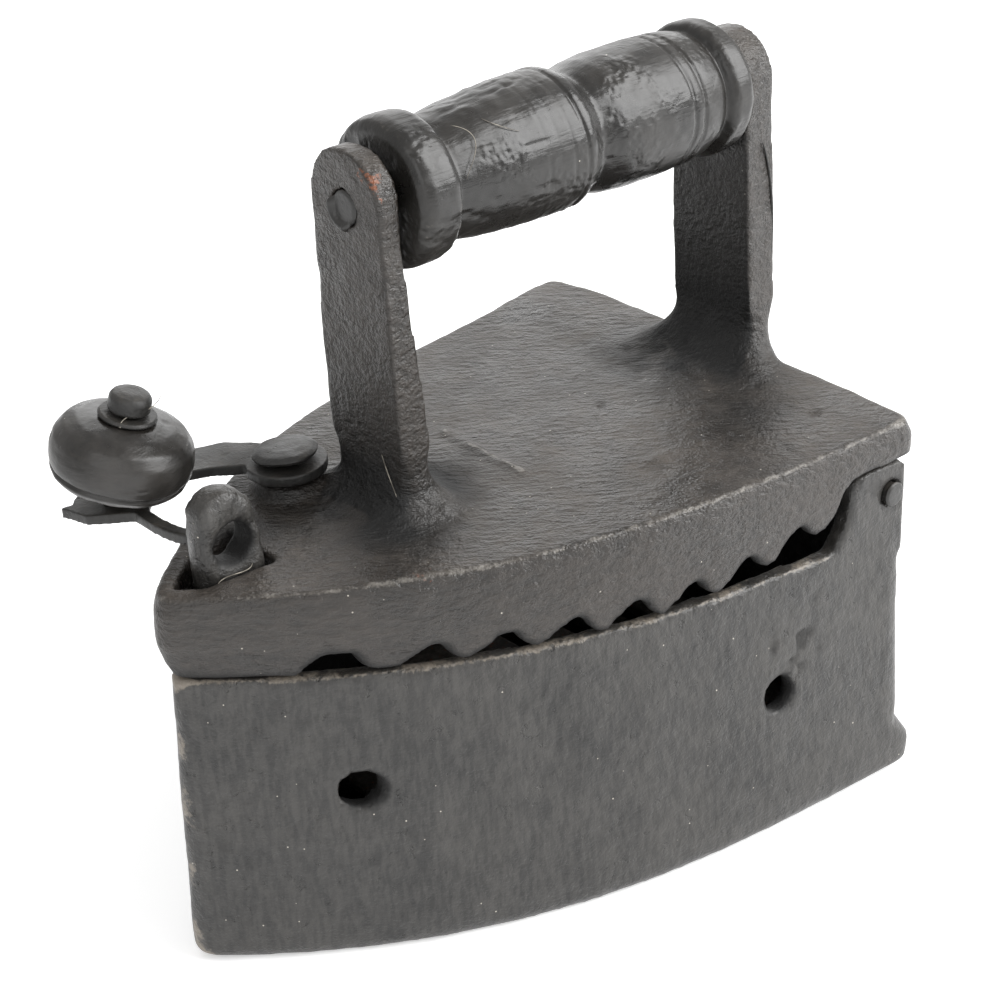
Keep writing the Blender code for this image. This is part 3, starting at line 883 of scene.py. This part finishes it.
@dataclass
class LidCasting(Casting):
    """The lid with its skirt, two handle posts, latch boss and hinge barrel."""

    corner_lift: float = 0.0020
    spots: tuple[tuple[Triple, Triple, float], ...] = (
        ((0.0298, -0.0343, LID_TOP), (0.0028, 0.0020, 0.003), 0.0007),
        ((0.0744, -0.0465, LID_TOP), (0.0018, 0.0015, 0.003), -0.0009),
        ((0.0415, -0.0036, LID_TOP), (0.0014, 0.0012, 0.003), -0.0007),
        ((0.0711, 0.0162, LID_TOP), (0.0016, 0.0020, 0.003), -0.0008),
        ((0.0520, -0.0150, LID_TOP), (0.0110, 0.0090, 0.004), -0.0004),
        ((-0.0600, -0.0150, LID_TOP), (0.0100, 0.0080, 0.004), -0.0005),
        ((-0.0216, -0.0180, LID_TOP + 0.002), (0.0040, 0.0030, 0.004), 0.0007),
        ((0.0760, -0.0220, LID_TOP + 0.002), (0.0050, 0.0040, 0.004), 0.0006),
    )
    front_foot: Triple = (-0.0250, HANDLE_Y, 0.1040)
    rear_foot: Triple = (0.0800, HANDLE_Y, 0.1040)
    ridge: tuple[Triple, Triple] = ((0.0048, 0.0150, LID_TOP), (0.0038, -0.0150, LID_TOP))

    def near_feet(self, points: Array, reach: float, height: float) -> Array:
        """A share that is 1 about the feet of the two posts and 0 away from them."""
        wide = (reach, reach, height)
        feet = mound(points, self.front_foot, wide) + mound(points, self.rear_foot, wide)
        return np.clip(1.6 * feet, 0.0, 1.0)

    def shape(self, net: Net) -> None:
        """Rounds the feet and the teeth, lifts the far heel corner and adds blisters and dents."""
        z = net.points[:, 2]
        feet = self.near_feet(net.points, 0.022, 0.010)
        feet *= smoothstep(LID_TOP - 0.0005, LID_TOP + 0.0010, z)
        posts = smoothstep(0.1200, 0.1120, z)
        net.soften(feet * posts, 90)
        x, _, z = net.points.T
        net.soften(smoothstep(0.0930, 0.0900, z) * smoothstep(0.072, 0.066, x), 5)
        z = net.points[:, 2]
        away = mound(net.points, (0.082, 0.058, z.mean()), (0.020, 0.026, 1.0))
        net.points[:, 2] += self.corner_lift * away * smoothstep(0.0920, 0.0980, z)
        normals = net.normals()
        depth = sum(high * mound(net.points, centre, reach) for centre, reach, high in self.spots)
        ridge = segment_distance(net.points, *self.ridge)
        depth += 0.00060 * np.exp(-((ridge / 0.0016) ** 2))
        rough_feet = layered_noise(net.points, 0.0045, 2, 33)
        depth += 0.00028 * rough_feet * self.near_feet(net.points, 0.020, 0.012)
        head = smoothstep(0.150, 0.160, z)
        depth += 0.00022 * layered_noise(net.points, 0.007, 2, 34) * head
        net.points = net.points + normals * depth[:, None]

    def hold(self, points: Array) -> Array:
        """Keeps the skin off the joint with the body, the hinge barrel and the latch boss."""
        x, y, z = points.T
        seam = smoothstep(0.0010, 0.0040, z - rim(x))
        barrel = 1.0 - 0.9 * smoothstep(0.070, 0.076, x) * smoothstep(0.0935, 0.0910, z)
        boss = smoothstep(0.0085, 0.0120, apart(x, y, PIVOT))
        bores = smoothstep(0.0050, 0.0075, apart(y, z, ROD))
        return np.minimum(np.minimum(seam, barrel), np.minimum(boss, bores))

    def wear_zone(self, points: Array) -> Array:
        """The near upper edge is rubbed pale, and the skirt's teeth a little."""
        x, y, z = points.T
        edge = np.exp(-(((z - LID_TOP) / 0.0025) ** 2)) * smoothstep(-0.005, -0.020, y)
        teeth = np.exp(-(((z - rim(x)) / 0.0030) ** 2))
        nose = smoothstep(-0.086, -0.093, x)
        ridge = np.exp(-((segment_distance(points, *self.ridge) / 0.002) ** 2))
        return 0.40 + 0.44 * edge + 0.25 * teeth + 0.50 * nose + 1.4 * ridge

    def rust_zone(self, points: Array) -> Array:
        """The near shoulder of the front post's head is flecked with rust."""
        head = mound(points, (POST_FACE_X + 0.001, -0.0125, 0.1845), (0.005, 0.005, 0.007))
        spot = mound(points, (-0.0447, -0.0360, LID_TOP), (0.005, 0.005, 0.003))
        return head + 0.8 * spot

    def soot_and_shade_zone(self, points: Array, normals: Array) -> Array:
        """Soot lines the underside; painted shade darkens the lid about the posts' feet, beside the
        lug's slot and on the posts' faces towards the nose.
        """
        x, y, z = points.T
        under = smoothstep(-0.15, -0.45, normals[:, 2]) * (z < LID_UNDERSIDE + 0.002)
        inner = smoothstep(0.1, -0.3, normals[:, 1] * np.sign(y)) * (z < LID_UNDERSIDE)
        patches = smoothstep(-0.5, 0.5, layered_noise(points, 0.012, 3, 35))
        # Painted shade about the posts' feet, beside the lug's slot and near both posts.
        near = 1.10 * self.near_feet(points, 0.021, 0.009) * (0.45 + 0.55 * patches)
        lug = 1.1 * mound(points, (-0.0630, 0.0100, LID_TOP), (0.008, 0.008, 0.004))
        behind = 0.5 * mound(points, (0.0650, -0.0330, LID_TOP), (0.013, 0.012, 0.004))
        front = 0.5 * mound(points, (-0.0380, -0.0200, LID_TOP), (0.012, 0.012, 0.004))
        # Painted shade on the posts' faces towards the nose, which look away from the key lamp.
        facing_nose = (z > LID_TOP + 0.001) * (normals[:, 0] < -0.5)
        low_post = 0.35 * smoothstep(0.150, 0.115, z) * facing_nose
        rear_post = 0.60 * facing_nose * (x > 0.070)
        return under + inner + near + lug + behind + front + low_post + rear_post


@dataclass
class LatchPlate(Casting):
    """The hammered hook plate of the latch."""

    def wear_zone(self, points: Array) -> Array:
        """Its edges are hardly rubbed."""
        return np.full(len(points), 0.45)

    def shape(self, net: Net) -> None:
        """Gives the plate a hammered sway, kept clear of the rivet's and the spindle's seats."""
        sway = layered_noise(net.points, 0.012, 2, 51) * 0.00025
        x, y, _ = net.points.T
        clear = smoothstep(0.010, 0.016, apart(x, y, PIVOT))
        clear *= smoothstep(0.010, 0.014, apart(x, y, KNOB))
        net.points[:, 2] += sway * clear

    def hold(self, points: Array) -> Array:
        """Keeps the skin off the rivet's and the spindle's seats."""
        x, y, _ = points.T
        return np.minimum(
            smoothstep(0.0085, 0.0115, apart(x, y, PIVOT)),
            smoothstep(0.003, 0.008, apart(x, y, KNOB)),
        )


@dataclass
class Turned(Piece):
    """A piece turned round an axis.

    A path of distances along the axis and radii is cut into even steps, rounded by a moving
    bell-weighted mean, then carried round the axis. The surface then moves by carve(), which
    each piece defines.

    Args:
        centre: A point on the axis, from which distances along it count.
        axis: Direction of the axis.
        outline: Distance along and radius of each corner, in millimetres.
        step: Spacing along the path, in millimetres.
        around: Points in a turn.
        rounding: Width of the bell that rounds corners, in millimetres.
        bored: True if the path closes on itself, False if it ends on the axis.
        wear: How strongly its edges are rubbed.
        leans: True if it stands on the bent end of the latch's spindle.
    """

    centre: Triple = (0.0, 0.0, 0.0)
    axis: Axis = Axis.Z
    outline: Outline = ()
    step: float = 0.5
    around: int = 96
    rounding: float = 0.5
    bored: bool = False
    wear: float = 0.6
    leans: bool = False

    def carve(self, points: Array, along: Array, angle: Array) -> Array:
        """Outward move of each point, from its place, distance along the axis and angle."""
        return 0.00006 * layered_noise(points, 0.004, 3, 5)

    def path(self) -> Array:
        """The outline in even steps with rounded corners, as rows of along and radius in metres."""
        corners = np.array(self.outline)
        if self.bored:
            corners = np.vstack([corners, corners[:1]])
        else:
            start, end = corners[::-1][:-1] * (1, -1), corners[::-1][1:] * (1, -1)
            corners = np.vstack([start, corners, end])
        sides = np.linalg.norm(np.diff(corners, axis=0), axis=1)
        lengths = np.concatenate([[0.0], np.cumsum(sides)])
        count = max(12, round(lengths[-1] / self.step))
        even = np.linspace(0.0, lengths[-1], count, endpoint=False)
        rows = np.stack([np.interp(even, lengths, corners[:, k]) for k in range(2)], axis=1)
        reach = np.arange(count)
        bell = np.exp(-0.5 * (np.minimum(reach, count - reach) * self.step / self.rounding) ** 2)
        turned = np.fft.rfft(bell / bell.sum())[:, None]
        rows = np.fft.irfft(np.fft.rfft(rows, axis=0) * turned, count, axis=0)
        if not self.bored:
            inner = len(self.outline) - 1
            first, last = lengths[inner], lengths[2 * inner]
            rows = rows[(even >= first) & (even <= last) & (rows[:, 1] > 0.25 * self.step)]
        return rows * MM

    def build(self) -> bpy.types.Object:
        """Carries the path round the axis, carves the surface and dresses it."""
        rows = self.path()
        angle = np.linspace(0.0, 2.0 * math.pi, self.around, endpoint=False)
        own, first, second = (np.array(v) for v in self.axis.value)
        centre = np.array(self.centre)
        spoke = np.cos(angle)[:, None] * first + np.sin(angle)[:, None] * second
        rings = rows[:, None, :1] * own + rows[:, None, 1:] * spoke + centre
        net = ringed(self.name, rings, None if self.bored else centre + rows[[0, -1], :1] * own)
        cross = net.points - centre
        turn = np.arctan2(cross @ second, cross @ first)
        net.points = net.points + net.normals() * self.carve(net.points, cross @ own, turn)[:, None]
        self.place(net)
        net.store("wear", np.clip(net.convexity(20, 0.00040), 0.0, 1.0) * self.wear)
        return self.dress(net)

    def place(self, net: Net) -> None:
        """Last moves of the whole piece: what leans turns about its seat above the plate."""
        if self.leans:
            seat = np.array(self.centre)
            turn = np.array(Matrix.Rotation(KNOB_LEAN, 3, Vector(KNOB_LEAN_AXIS)))
            above = smoothstep(0.0005, 0.0012, net.points[:, 2] - seat[2])[:, None]
            net.points = net.points * (1.0 - above) + ((net.points - seat) @ turn.T + seat) * above


@dataclass
class Grip(Turned):
    """The turned wooden handle: collars, two barrels, a bead by the waist and scored lines."""

    scores: tuple[tuple[float, float, float], ...] = (
        (15.0, 0.12, 0.35), (18.6, 0.10, 0.35), (22.4, 0.15, 0.40), (26.2, 0.45, 0.40),
        (61.8, 0.50, 0.50), (65.4, 0.55, 0.55),
    )

    def carve(self, points: Array, along: Array, angle: Array) -> Array:
        """Scored lines as narrow bells, then wobble, drawn-out gouges and wrinkled paint."""
        x = along / MM
        outside = smoothstep(9.0, 13.0, apart(*points.T[1:], ROD) / MM)
        wander = x + 0.35 * np.sin(angle + 0.6) + 0.5 * lattice_noise(points, 0.009, 3)
        depth = np.zeros(len(points))
        for place, deep, width in self.scores:
            fade = 0.75 + 0.25 * lattice_noise(points, 0.011, int(place))
            depth -= deep * fade * np.exp(-(((wander - place) / width) ** 2))
        drawn = lattice_noise(points, (0.014, 0.0014, 0.0014), 71)
        gouges = smoothstep(0.42, 0.80, drawn)
        gouges *= smoothstep(-0.1, 0.5, lattice_noise(points, 0.018, 72))
        patch = smoothstep(0.0, 0.5, lattice_noise(points, 0.013, 73)) * smoothstep(30.0, 22.0, x)
        wrinkle = lattice_noise(points, (0.0026, 0.0014, 0.0014), 74) * patch
        depth += 0.20 * layered_noise(points, 0.022, 2, 75)
        depth += -0.40 * gouges + 0.26 * wrinkle
        depth += 0.08 * layered_noise(points, 0.0026, 2, 76)
        return depth * outside * MM


@dataclass
class Knob(Turned):
    """The turned knob of the latch, a bun with a seam low on its side."""

    def carve(self, points: Array, along: Array, angle: Array) -> Array:
        """A seam as a narrow bell, worn flats and a few gouges."""
        height = along / MM
        seam = 0.85 * np.exp(-(((height - 9.0 - 0.4 * np.sin(angle)) / 0.45) ** 2))
        flats = 0.30 * layered_noise(points, 0.010, 2, 81)
        gouges = 0.35 * smoothstep(0.45, 0.85, lattice_noise(points, (0.006, 0.006, 0.0018), 82))
        return (flats - seam - gouges + 0.05 * layered_noise(points, 0.0025, 2, 83)) * MM


@dataclass
class RodEnd(Turned):
    """The rod through both posts, burred into the front hole with one side standing open."""

    open_side: float = math.radians(139.0)

    def carve(self, points: Array, along: Array, angle: Array) -> Array:
        """Spreads the burr over the hole's edge except along an arc, which stays a crack."""
        away = np.abs(np.angle(np.exp(1j * (angle - self.open_side))))
        closed = smoothstep(1.8, 2.3, away)
        burr = smoothstep(-0.0306, -0.0311, along)
        side = smoothstep(0.0030, 0.0038, apart(*points.T[1:], ROD))
        return 0.0016 * closed * burr * side


@dataclass
class RivetHead(Turned):
    """The latch rivet, its broad flat head hammered down at a tilt."""

    tilt: float = math.radians(5.0)
    tilt_axis: Triple = (-0.98, -0.17, 0.0)

    def carve(self, points: Array, along: Array, angle: Array) -> Array:
        """Hammer marks and an uneven edge."""
        reach = apart(*points.T[:2], PIVOT)
        rim_part = smoothstep(0.0055, 0.0075, reach)
        uneven = 0.00040 * lattice_noise(points, 0.005, 61) * rim_part
        return uneven + 0.00010 * layered_noise(points, 0.003, 2, 62)

    def place(self, net: Net) -> None:
        """Tilts the head about its middle; the shank below stays straight."""
        middle = np.array((*PIVOT, PLATE_TOP + 0.00095))
        turn = np.array(Matrix.Rotation(self.tilt, 3, Vector(self.tilt_axis)))
        share = smoothstep(PLATE_TOP - 0.0004, PLATE_TOP + 0.0003, net.points[:, 2])[:, None]
        tilted = (net.points - middle) @ turn.T + middle + (0.0, 0.0, 0.00090)
        net.points = net.points * (1.0 - share) + tilted * share


@dataclass
class Strand(Piece):
    """A thin round strand: a tube along the polynomial through its knots, thinner at its ends.

    Args:
        knots: Places that it passes through, evenly apart along it.
        radius: Half its thickness in the middle.
        count: Rings along it.
        around: Points in a ring.
    """

    knots: tuple[Triple, ...] = ()
    radius: float = 0.0002
    count: int = 60
    around: int = 6

    def build(self) -> bpy.types.Object:
        """Fits the polynomial, carries a ring along it and dresses the tube."""
        along = np.linspace(0.0, 1.0, self.count)
        powers = np.linspace(0.0, 1.0, len(self.knots))[:, None] ** np.arange(len(self.knots))
        terms = np.linalg.solve(powers, np.array(self.knots) * MM)
        middle = (along[:, None] ** np.arange(len(self.knots))) @ terms
        ahead = np.gradient(middle, axis=0)
        ahead /= np.linalg.norm(ahead, axis=1, keepdims=True)
        across = np.cross(ahead, np.eye(3)[np.argmin(np.abs(ahead).mean(axis=0))])
        across /= np.linalg.norm(across, axis=1, keepdims=True)
        angle = np.linspace(0.0, 2.0 * math.pi, self.around, endpoint=False)
        up = np.cross(ahead, across)
        ring = np.cos(angle)[:, None] * across[:, None] + np.sin(angle)[:, None] * up[:, None]
        thick = self.radius * (0.3 + 0.7 * np.sqrt(np.sin(math.pi * along)))
        net = ringed(self.name, middle[:, None] + ring * thick[:, None, None], middle[[0, -1]])
        return self.dress(net)


# ---- Sub-assemblies ----
@dataclass
class Shell:
    """The body with its hinge pin."""

    finish: IronFinish
    metal: IronFinish
    voxel: float = 0.00125

    def build(self) -> list[bpy.types.Object]:
        """Builds the body and the peened hinge pin."""
        cast = self.finish.material()
        body = BodyCasting(
            "body_casting", "body", Slot.BODY, cast, ("body",), voxel=self.voxel, seed=11
        )
        outline = ((-66.1, 0.0), (-66.0, 2.9), (-65.3, 3.4), (-65.1, 2.8), (65.1, 2.8), (65.3, 3.4))
        pin = Turned(
            "peened_hinge_pin", "body", Slot.FORGED, self.metal.material(), ("hinge_pin",),
            centre=(PIN_X, 0.0, PIN_Z), axis=Axis.Y, outline=(*outline, (66.0, 2.9), (66.1, 0.0)),
            step=0.25, around=48, rounding=0.18,
        )
        return [body.build(), pin.build()]


@dataclass
class Cover:
    """The lid with the handle's rod."""

    finish: IronFinish
    metal: bpy.types.Material
    voxel: float = 0.00095

    def build(self) -> list[bpy.types.Object]:
        """Builds the lid casting and the rod through its posts."""
        cast = self.finish.material()
        lid = LidCasting(
            "lid_casting", "lid", Slot.LID, cast, ("lid",), voxel=self.voxel, seed=23
        )
        rod = RodEnd(
            "handle_rod_burred", "lid", Slot.FORGED, self.metal, ("handle_rod",),
            centre=(0.0, *ROD), axis=Axis.X,
            outline=(
                (-31.60, 0.0), (-31.54, 3.4), (-31.2, 4.1), (94.3, 4.1), (94.7, 3.4), (94.8, 0.0),
            ),
            step=0.25, around=64, rounding=0.16,
        )
        return [lid.build(), rod.build()]


@dataclass
class Handle:
    """The loose turned grip on its rod."""

    finish: PaintedWoodFinish
    front: Outline = (
        (-22.3, 4.55), (-22.3, 15.0), (-21.2, 16.9), (-19.0, 17.6), (-13.2, 17.5), (-11.6, 16.9),
        (-10.6, 15.4), (-10.0, 14.1), (-8.8, 14.3),
    )
    first_barrel: Outline = ((0.0, 15.6), (8.0, 16.4), (15.0, 16.9), (22.0, 17.2))
    bead: Outline = ((26.0, 17.2), (27.6, 17.4), (29.4, 17.0), (31.6, 15.5), (33.7, 14.5))
    second_barrel: Outline = (
        (36.0, 15.1), (40.0, 16.1), (46.0, 16.7), (60.0, 16.8), (68.0, 16.4), (73.0, 15.6),
    )
    rear: Outline = (
        (74.9, 14.6), (75.8, 16.3), (77.2, 17.1), (81.6, 17.0), (83.5, 15.6), (83.8, 4.55),
    )

    def build(self) -> list[bpy.types.Object]:
        """Builds the grip."""
        grip = Grip(
            "turned_grip", "grip", Slot.WOOD, self.finish.material(), ("grip",),
            centre=(0.0, *ROD), axis=Axis.X,
            outline=(*self.front, *self.first_barrel, *self.bead, *self.second_barrel, *self.rear),
            step=0.5, around=190, rounding=0.55, bored=True, wear=0.8,
        )
        return [grip.build()]


@dataclass
class Latch:
    """The swinging hook with its rivet, and the knob with its washer and spindle."""

    finish: IronFinish
    wood: PaintedWoodFinish

    def build(self) -> list[bpy.types.Object]:
        """Builds the five pieces of the latch."""
        iron = self.finish.material()
        seat = (*KNOB, PLATE_TOP)
        plate = LatchPlate(
            "hook_plate", "latch", Slot.LATCH, iron, ("latch_plate",), voxel=0.00040, seed=41,
            wave=0.00012, wave_size=0.009, grain=0.00005, passes=10,
        )
        rivet = RivetHead(
            "hammered_rivet", "lid", Slot.LATCH, iron, ("latch_rivet",), centre=(*PIVOT, PLATE_TOP),
            outline=(
                (-17.1, 0.0), (-17.1, 4.0), (-15.4, 4.5), (-15.4, 2.5), (0.0, 2.5), (0.3, 7.8),
                (1.4, 8.3), (2.3, 7.0), (2.7, 4.0), (2.8, 0.0),
            ),
            step=0.22, around=96, rounding=0.28,
        )
        knob = Knob(
            "turned_knob", "knob", Slot.WOOD, self.wood.material(), ("latch_knob",), centre=seat,
            outline=(
                (2.0, 3.0), (2.0, 6.2), (2.6, 7.7), (4.2, 8.6), (5.0, 10.6), (6.0, 13.8),
                (7.8, 15.8), (9.4, 16.1), (11.0, 16.5), (13.4, 16.6), (16.4, 16.2), (19.2, 14.4),
                (21.0, 11.2), (21.8, 7.4), (21.9, 3.0),
            ),
            step=0.35, around=150, rounding=0.5, bored=True, leans=True,
        )
        washer = Turned(
            "knob_washer_ring", "latch", Slot.LATCH, iron, ("knob_washer",), centre=seat,
            outline=((22.15, 3.0), (22.15, 6.6), (22.7, 7.0), (23.4, 6.5), (23.4, 3.0)), step=0.18,
            around=72, rounding=0.16, bored=True, leans=True,
        )
        under = -2.5
        spindle = Turned(
            "domed_spindle", "latch", Slot.LATCH, iron, ("knob_spindle",), centre=seat,
            outline=(
                (under - 1.6, 0.0), (under - 1.5, 3.8), (under - 0.4, 4.5), (under - 0.3, 2.5),
                (23.6, 2.5), (23.7, 4.2), (24.3, 5.0), (27.2, 5.0), (28.3, 4.3), (28.8, 2.2),
                (28.8, 0.0),
            ),
            step=0.25, around=64, rounding=0.30, leans=True,
        )
        return [piece.build() for piece in (plate, rivet, knob, washer, spindle)]


@dataclass
class Traces:
    """Marks of use and of the mould: a flash line on the rear post, and stuck fibres."""

    iron: IronFinish
    fibre: FibreFinish
    fibres: tuple[tuple[str, str, Slot, float, tuple[Triple, ...]], ...] = (
        (
            "fibre_grip_loop", "grip", Slot.WOOD, 0.00010,
            ((-6.5, -9.5, 189.4), (-3.0, -13.2, 186.4), (-5.5, -15.6, 182.8), (-8.0, -15.9, 179.0)),
        ),
        (
            "fibre_grip_line", "grip", Slot.WOOD, 0.00009,
            ((2.0, -10.0, 188.9), (5.0, -13.2, 187.0), (9.0, -14.9, 185.2)),
        ),
        (
            "fibre_post", "lid", Slot.LID, 0.00012,
            ((-31.8, -7.6, 117.0), (-31.9, -9.6, 112.6), (-32.3, -12.6, 108.0)),
        ),
        (
            "fibre_knob", "latch", Slot.LATCH, 0.00014,
            (
                (-80.0, 25.0, 130.8), (-76.5, 25.4, 132.3), (-72.5, 24.6, 132.6),
                (-69.6, 22.4, 136.0),
            ),
        ),
        (
            "fibre_lug", "body", Slot.BODY, 0.00012,
            (
                (-78.0, -5.0, 101.2), (-75.0, -5.6, 102.4), (-71.0, -5.5, 101.9),
                (-68.5, -5.2, 102.8),
            ),
        ),
    )

    def build(self) -> list[bpy.types.Object]:
        """Builds the flash line and each fibre."""
        pale = self.fibre.material()
        iron = self.iron.material()
        flash = Strand(
            "rear_post_flash", "lid", Slot.LID, iron, radius=0.00042, count=90, around=8,
            knots=(
                (90.0, -14.55, 161.2), (93.3, -14.6, 147.0), (93.5, -14.6, 132.4),
                (91.8, -14.6, 119.6),
            ),
        )
        fibres = (
            Strand(name, body, slot, pale, radius=radius, knots=knots)
            for name, body, slot, radius, knots in self.fibres
        )
        return [piece.build() for piece in (flash, *fibres)]


@dataclass
class Grate:
    """The loose fire grate inside the body."""

    finish: IronFinish

    def build(self) -> list[bpy.types.Object]:
        """Builds the grate."""
        grate = Casting(
            "fire_grate_casting", "grate", Slot.GRATE, self.finish.material(), ("fire_grate",),
            voxel=0.0009, seed=61, wave=0.0001,
        )
        return [grate.build()]


# ---- Studio ----
@dataclass
class Studio:
    """A pale floor, even soft light and the camera.

    Args:
        camera_place: Where the camera stands.
        azimuth: Bearing of the camera round the iron, in degrees.
        elevation: Height of the camera above the horizon, in degrees.
        roll: Turn of the camera about its own axis, in degrees.
        lens: Focal length, in millimetres on a 36 mm sensor.
        shift: Sideways and upward shift of the frame, as shares of its width.
        floor_half: Half the side of the floor.
        sky: Brightness of the even light all round.
        table_glow: Light that the white table gives by itself, which softens shadows.
        lamps: Name, place, side and power of each soft box.
    """

    camera_place: Triple = (-0.2742, -0.3395, 0.3271)
    azimuth: float = -39.47
    elevation: float = 28.72
    roll: float = -3.63
    lens: float = 72.0
    shift: tuple[float, float] = (0.0115, 0.0039)
    floor_half: float = 60.0
    sky: float = 0.66
    table_glow: float = 0.32
    lamps: tuple[tuple[str, Triple, float, float], ...] = (
        ("key", (0.82, -0.80, 0.86), 1.2, 31.0),
        ("fill", (-0.90, -0.70, 0.70), 1.0, 4.0),
        ("back", (0.66, 0.82, 0.60), 0.9, 4.4),
    )

    def build(self) -> None:
        """Builds the world, floor, lamps and camera."""
        self.world()
        self.floor()
        for name, place, size, power in self.lamps:
            self.lamp(name, place, size, power)
        self.camera()

    def world(self) -> None:
        """An even white sky."""
        world = bpy.data.worlds.new("studio_sky")
        world.use_nodes = True
        sky = world.node_tree.nodes["Background"]
        sky.inputs["Color"].default_value = (1.0, 1.0, 1.0, 1.0)
        sky.inputs["Strength"].default_value = self.sky
        bpy.context.scene.world = world
        bpy.context.scene.view_settings.view_transform = "Standard"

    def floor(self) -> None:
        """A plain white sheet under the iron."""
        half = self.floor_half
        corners = ((-half, -half), (half, -half), (half, half), (-half, half))
        points = np.array([(*corner, 0.0) for corner in corners])
        mesh = mesh_of("floor", points, np.array([[0, 1, 2, 3]]), np.empty((0, 3), np.int64))
        obj = bpy.data.objects.new("floor", mesh)
        bpy.context.scene.collection.objects.link(obj)
        paper, _, shader = started("white_paper")
        constants = {
            "Base Color": (0.95, 0.95, 0.95, 1.0),
            "Roughness": 0.9,
            "Specular IOR Level": 0.2,
            "Emission Color": (1.0, 1.0, 1.0, 1.0),
            "Emission Strength": self.table_glow,
        }
        for label, value in constants.items():
            shader.inputs[label].default_value = value
        mesh.materials.append(paper)

    def lamp(self, name: str, place: Triple, size: float, power: float) -> None:
        """A square soft box that looks at the iron."""
        light = bpy.data.lights.new(name, "AREA")
        light.size = size
        light.energy = power
        obj = bpy.data.objects.new(name, light)
        obj.location = place
        aim = Vector((0.0, 0.0, 0.08)) - Vector(place)
        obj.rotation_euler = aim.to_track_quat("-Z", "Y").to_euler()
        bpy.context.scene.collection.objects.link(obj)

    def camera(self) -> None:
        """The camera, turned by its bearing, elevation and roll."""
        lens = bpy.data.cameras.new("studio_camera")
        lens.lens = self.lens
        lens.sensor_width = 36.0
        lens.shift_x, lens.shift_y = self.shift
        lens.clip_start, lens.clip_end = 0.02, 40.0
        obj = bpy.data.objects.new("studio_camera", lens)
        bpy.context.scene.collection.objects.link(obj)
        az, el, roll = (math.radians(v) for v in (self.azimuth, self.elevation, self.roll))
        back = Vector((math.sin(az) * math.cos(el), -math.cos(az) * math.cos(el), math.sin(el)))
        right = Vector((math.cos(az), math.sin(az), 0.0))
        up = back.cross(right)
        turned = right * math.cos(roll) + up * math.sin(roll)
        upright = up * math.cos(roll) - right * math.sin(roll)
        facing = Matrix((turned, upright, back)).transposed().to_4x4()
        obj.matrix_world = Matrix.Translation(self.camera_place) @ facing
        bpy.context.scene.camera = obj


def main() -> None:
    """Builds the studio and every sub-assembly."""
    logging.basicConfig(level=logging.INFO, format="%(name)s %(message)s")
    finishes = Finishes()
    Studio().build()
    metal = finishes.forged.material()
    assemblies = (
        Shell(finishes.body, finishes.forged),
        Cover(finishes.lid, metal),
        Handle(finishes.grip),
        Latch(finishes.latch, finishes.knob),
        Grate(finishes.grate),
        Traces(finishes.latch, finishes.fibre),
    )
    for assembly in assemblies:
        for piece in assembly.build():
            log.info("%s holds %s", type(assembly).__name__, piece.name)


if __name__ == "__main__":
    main()
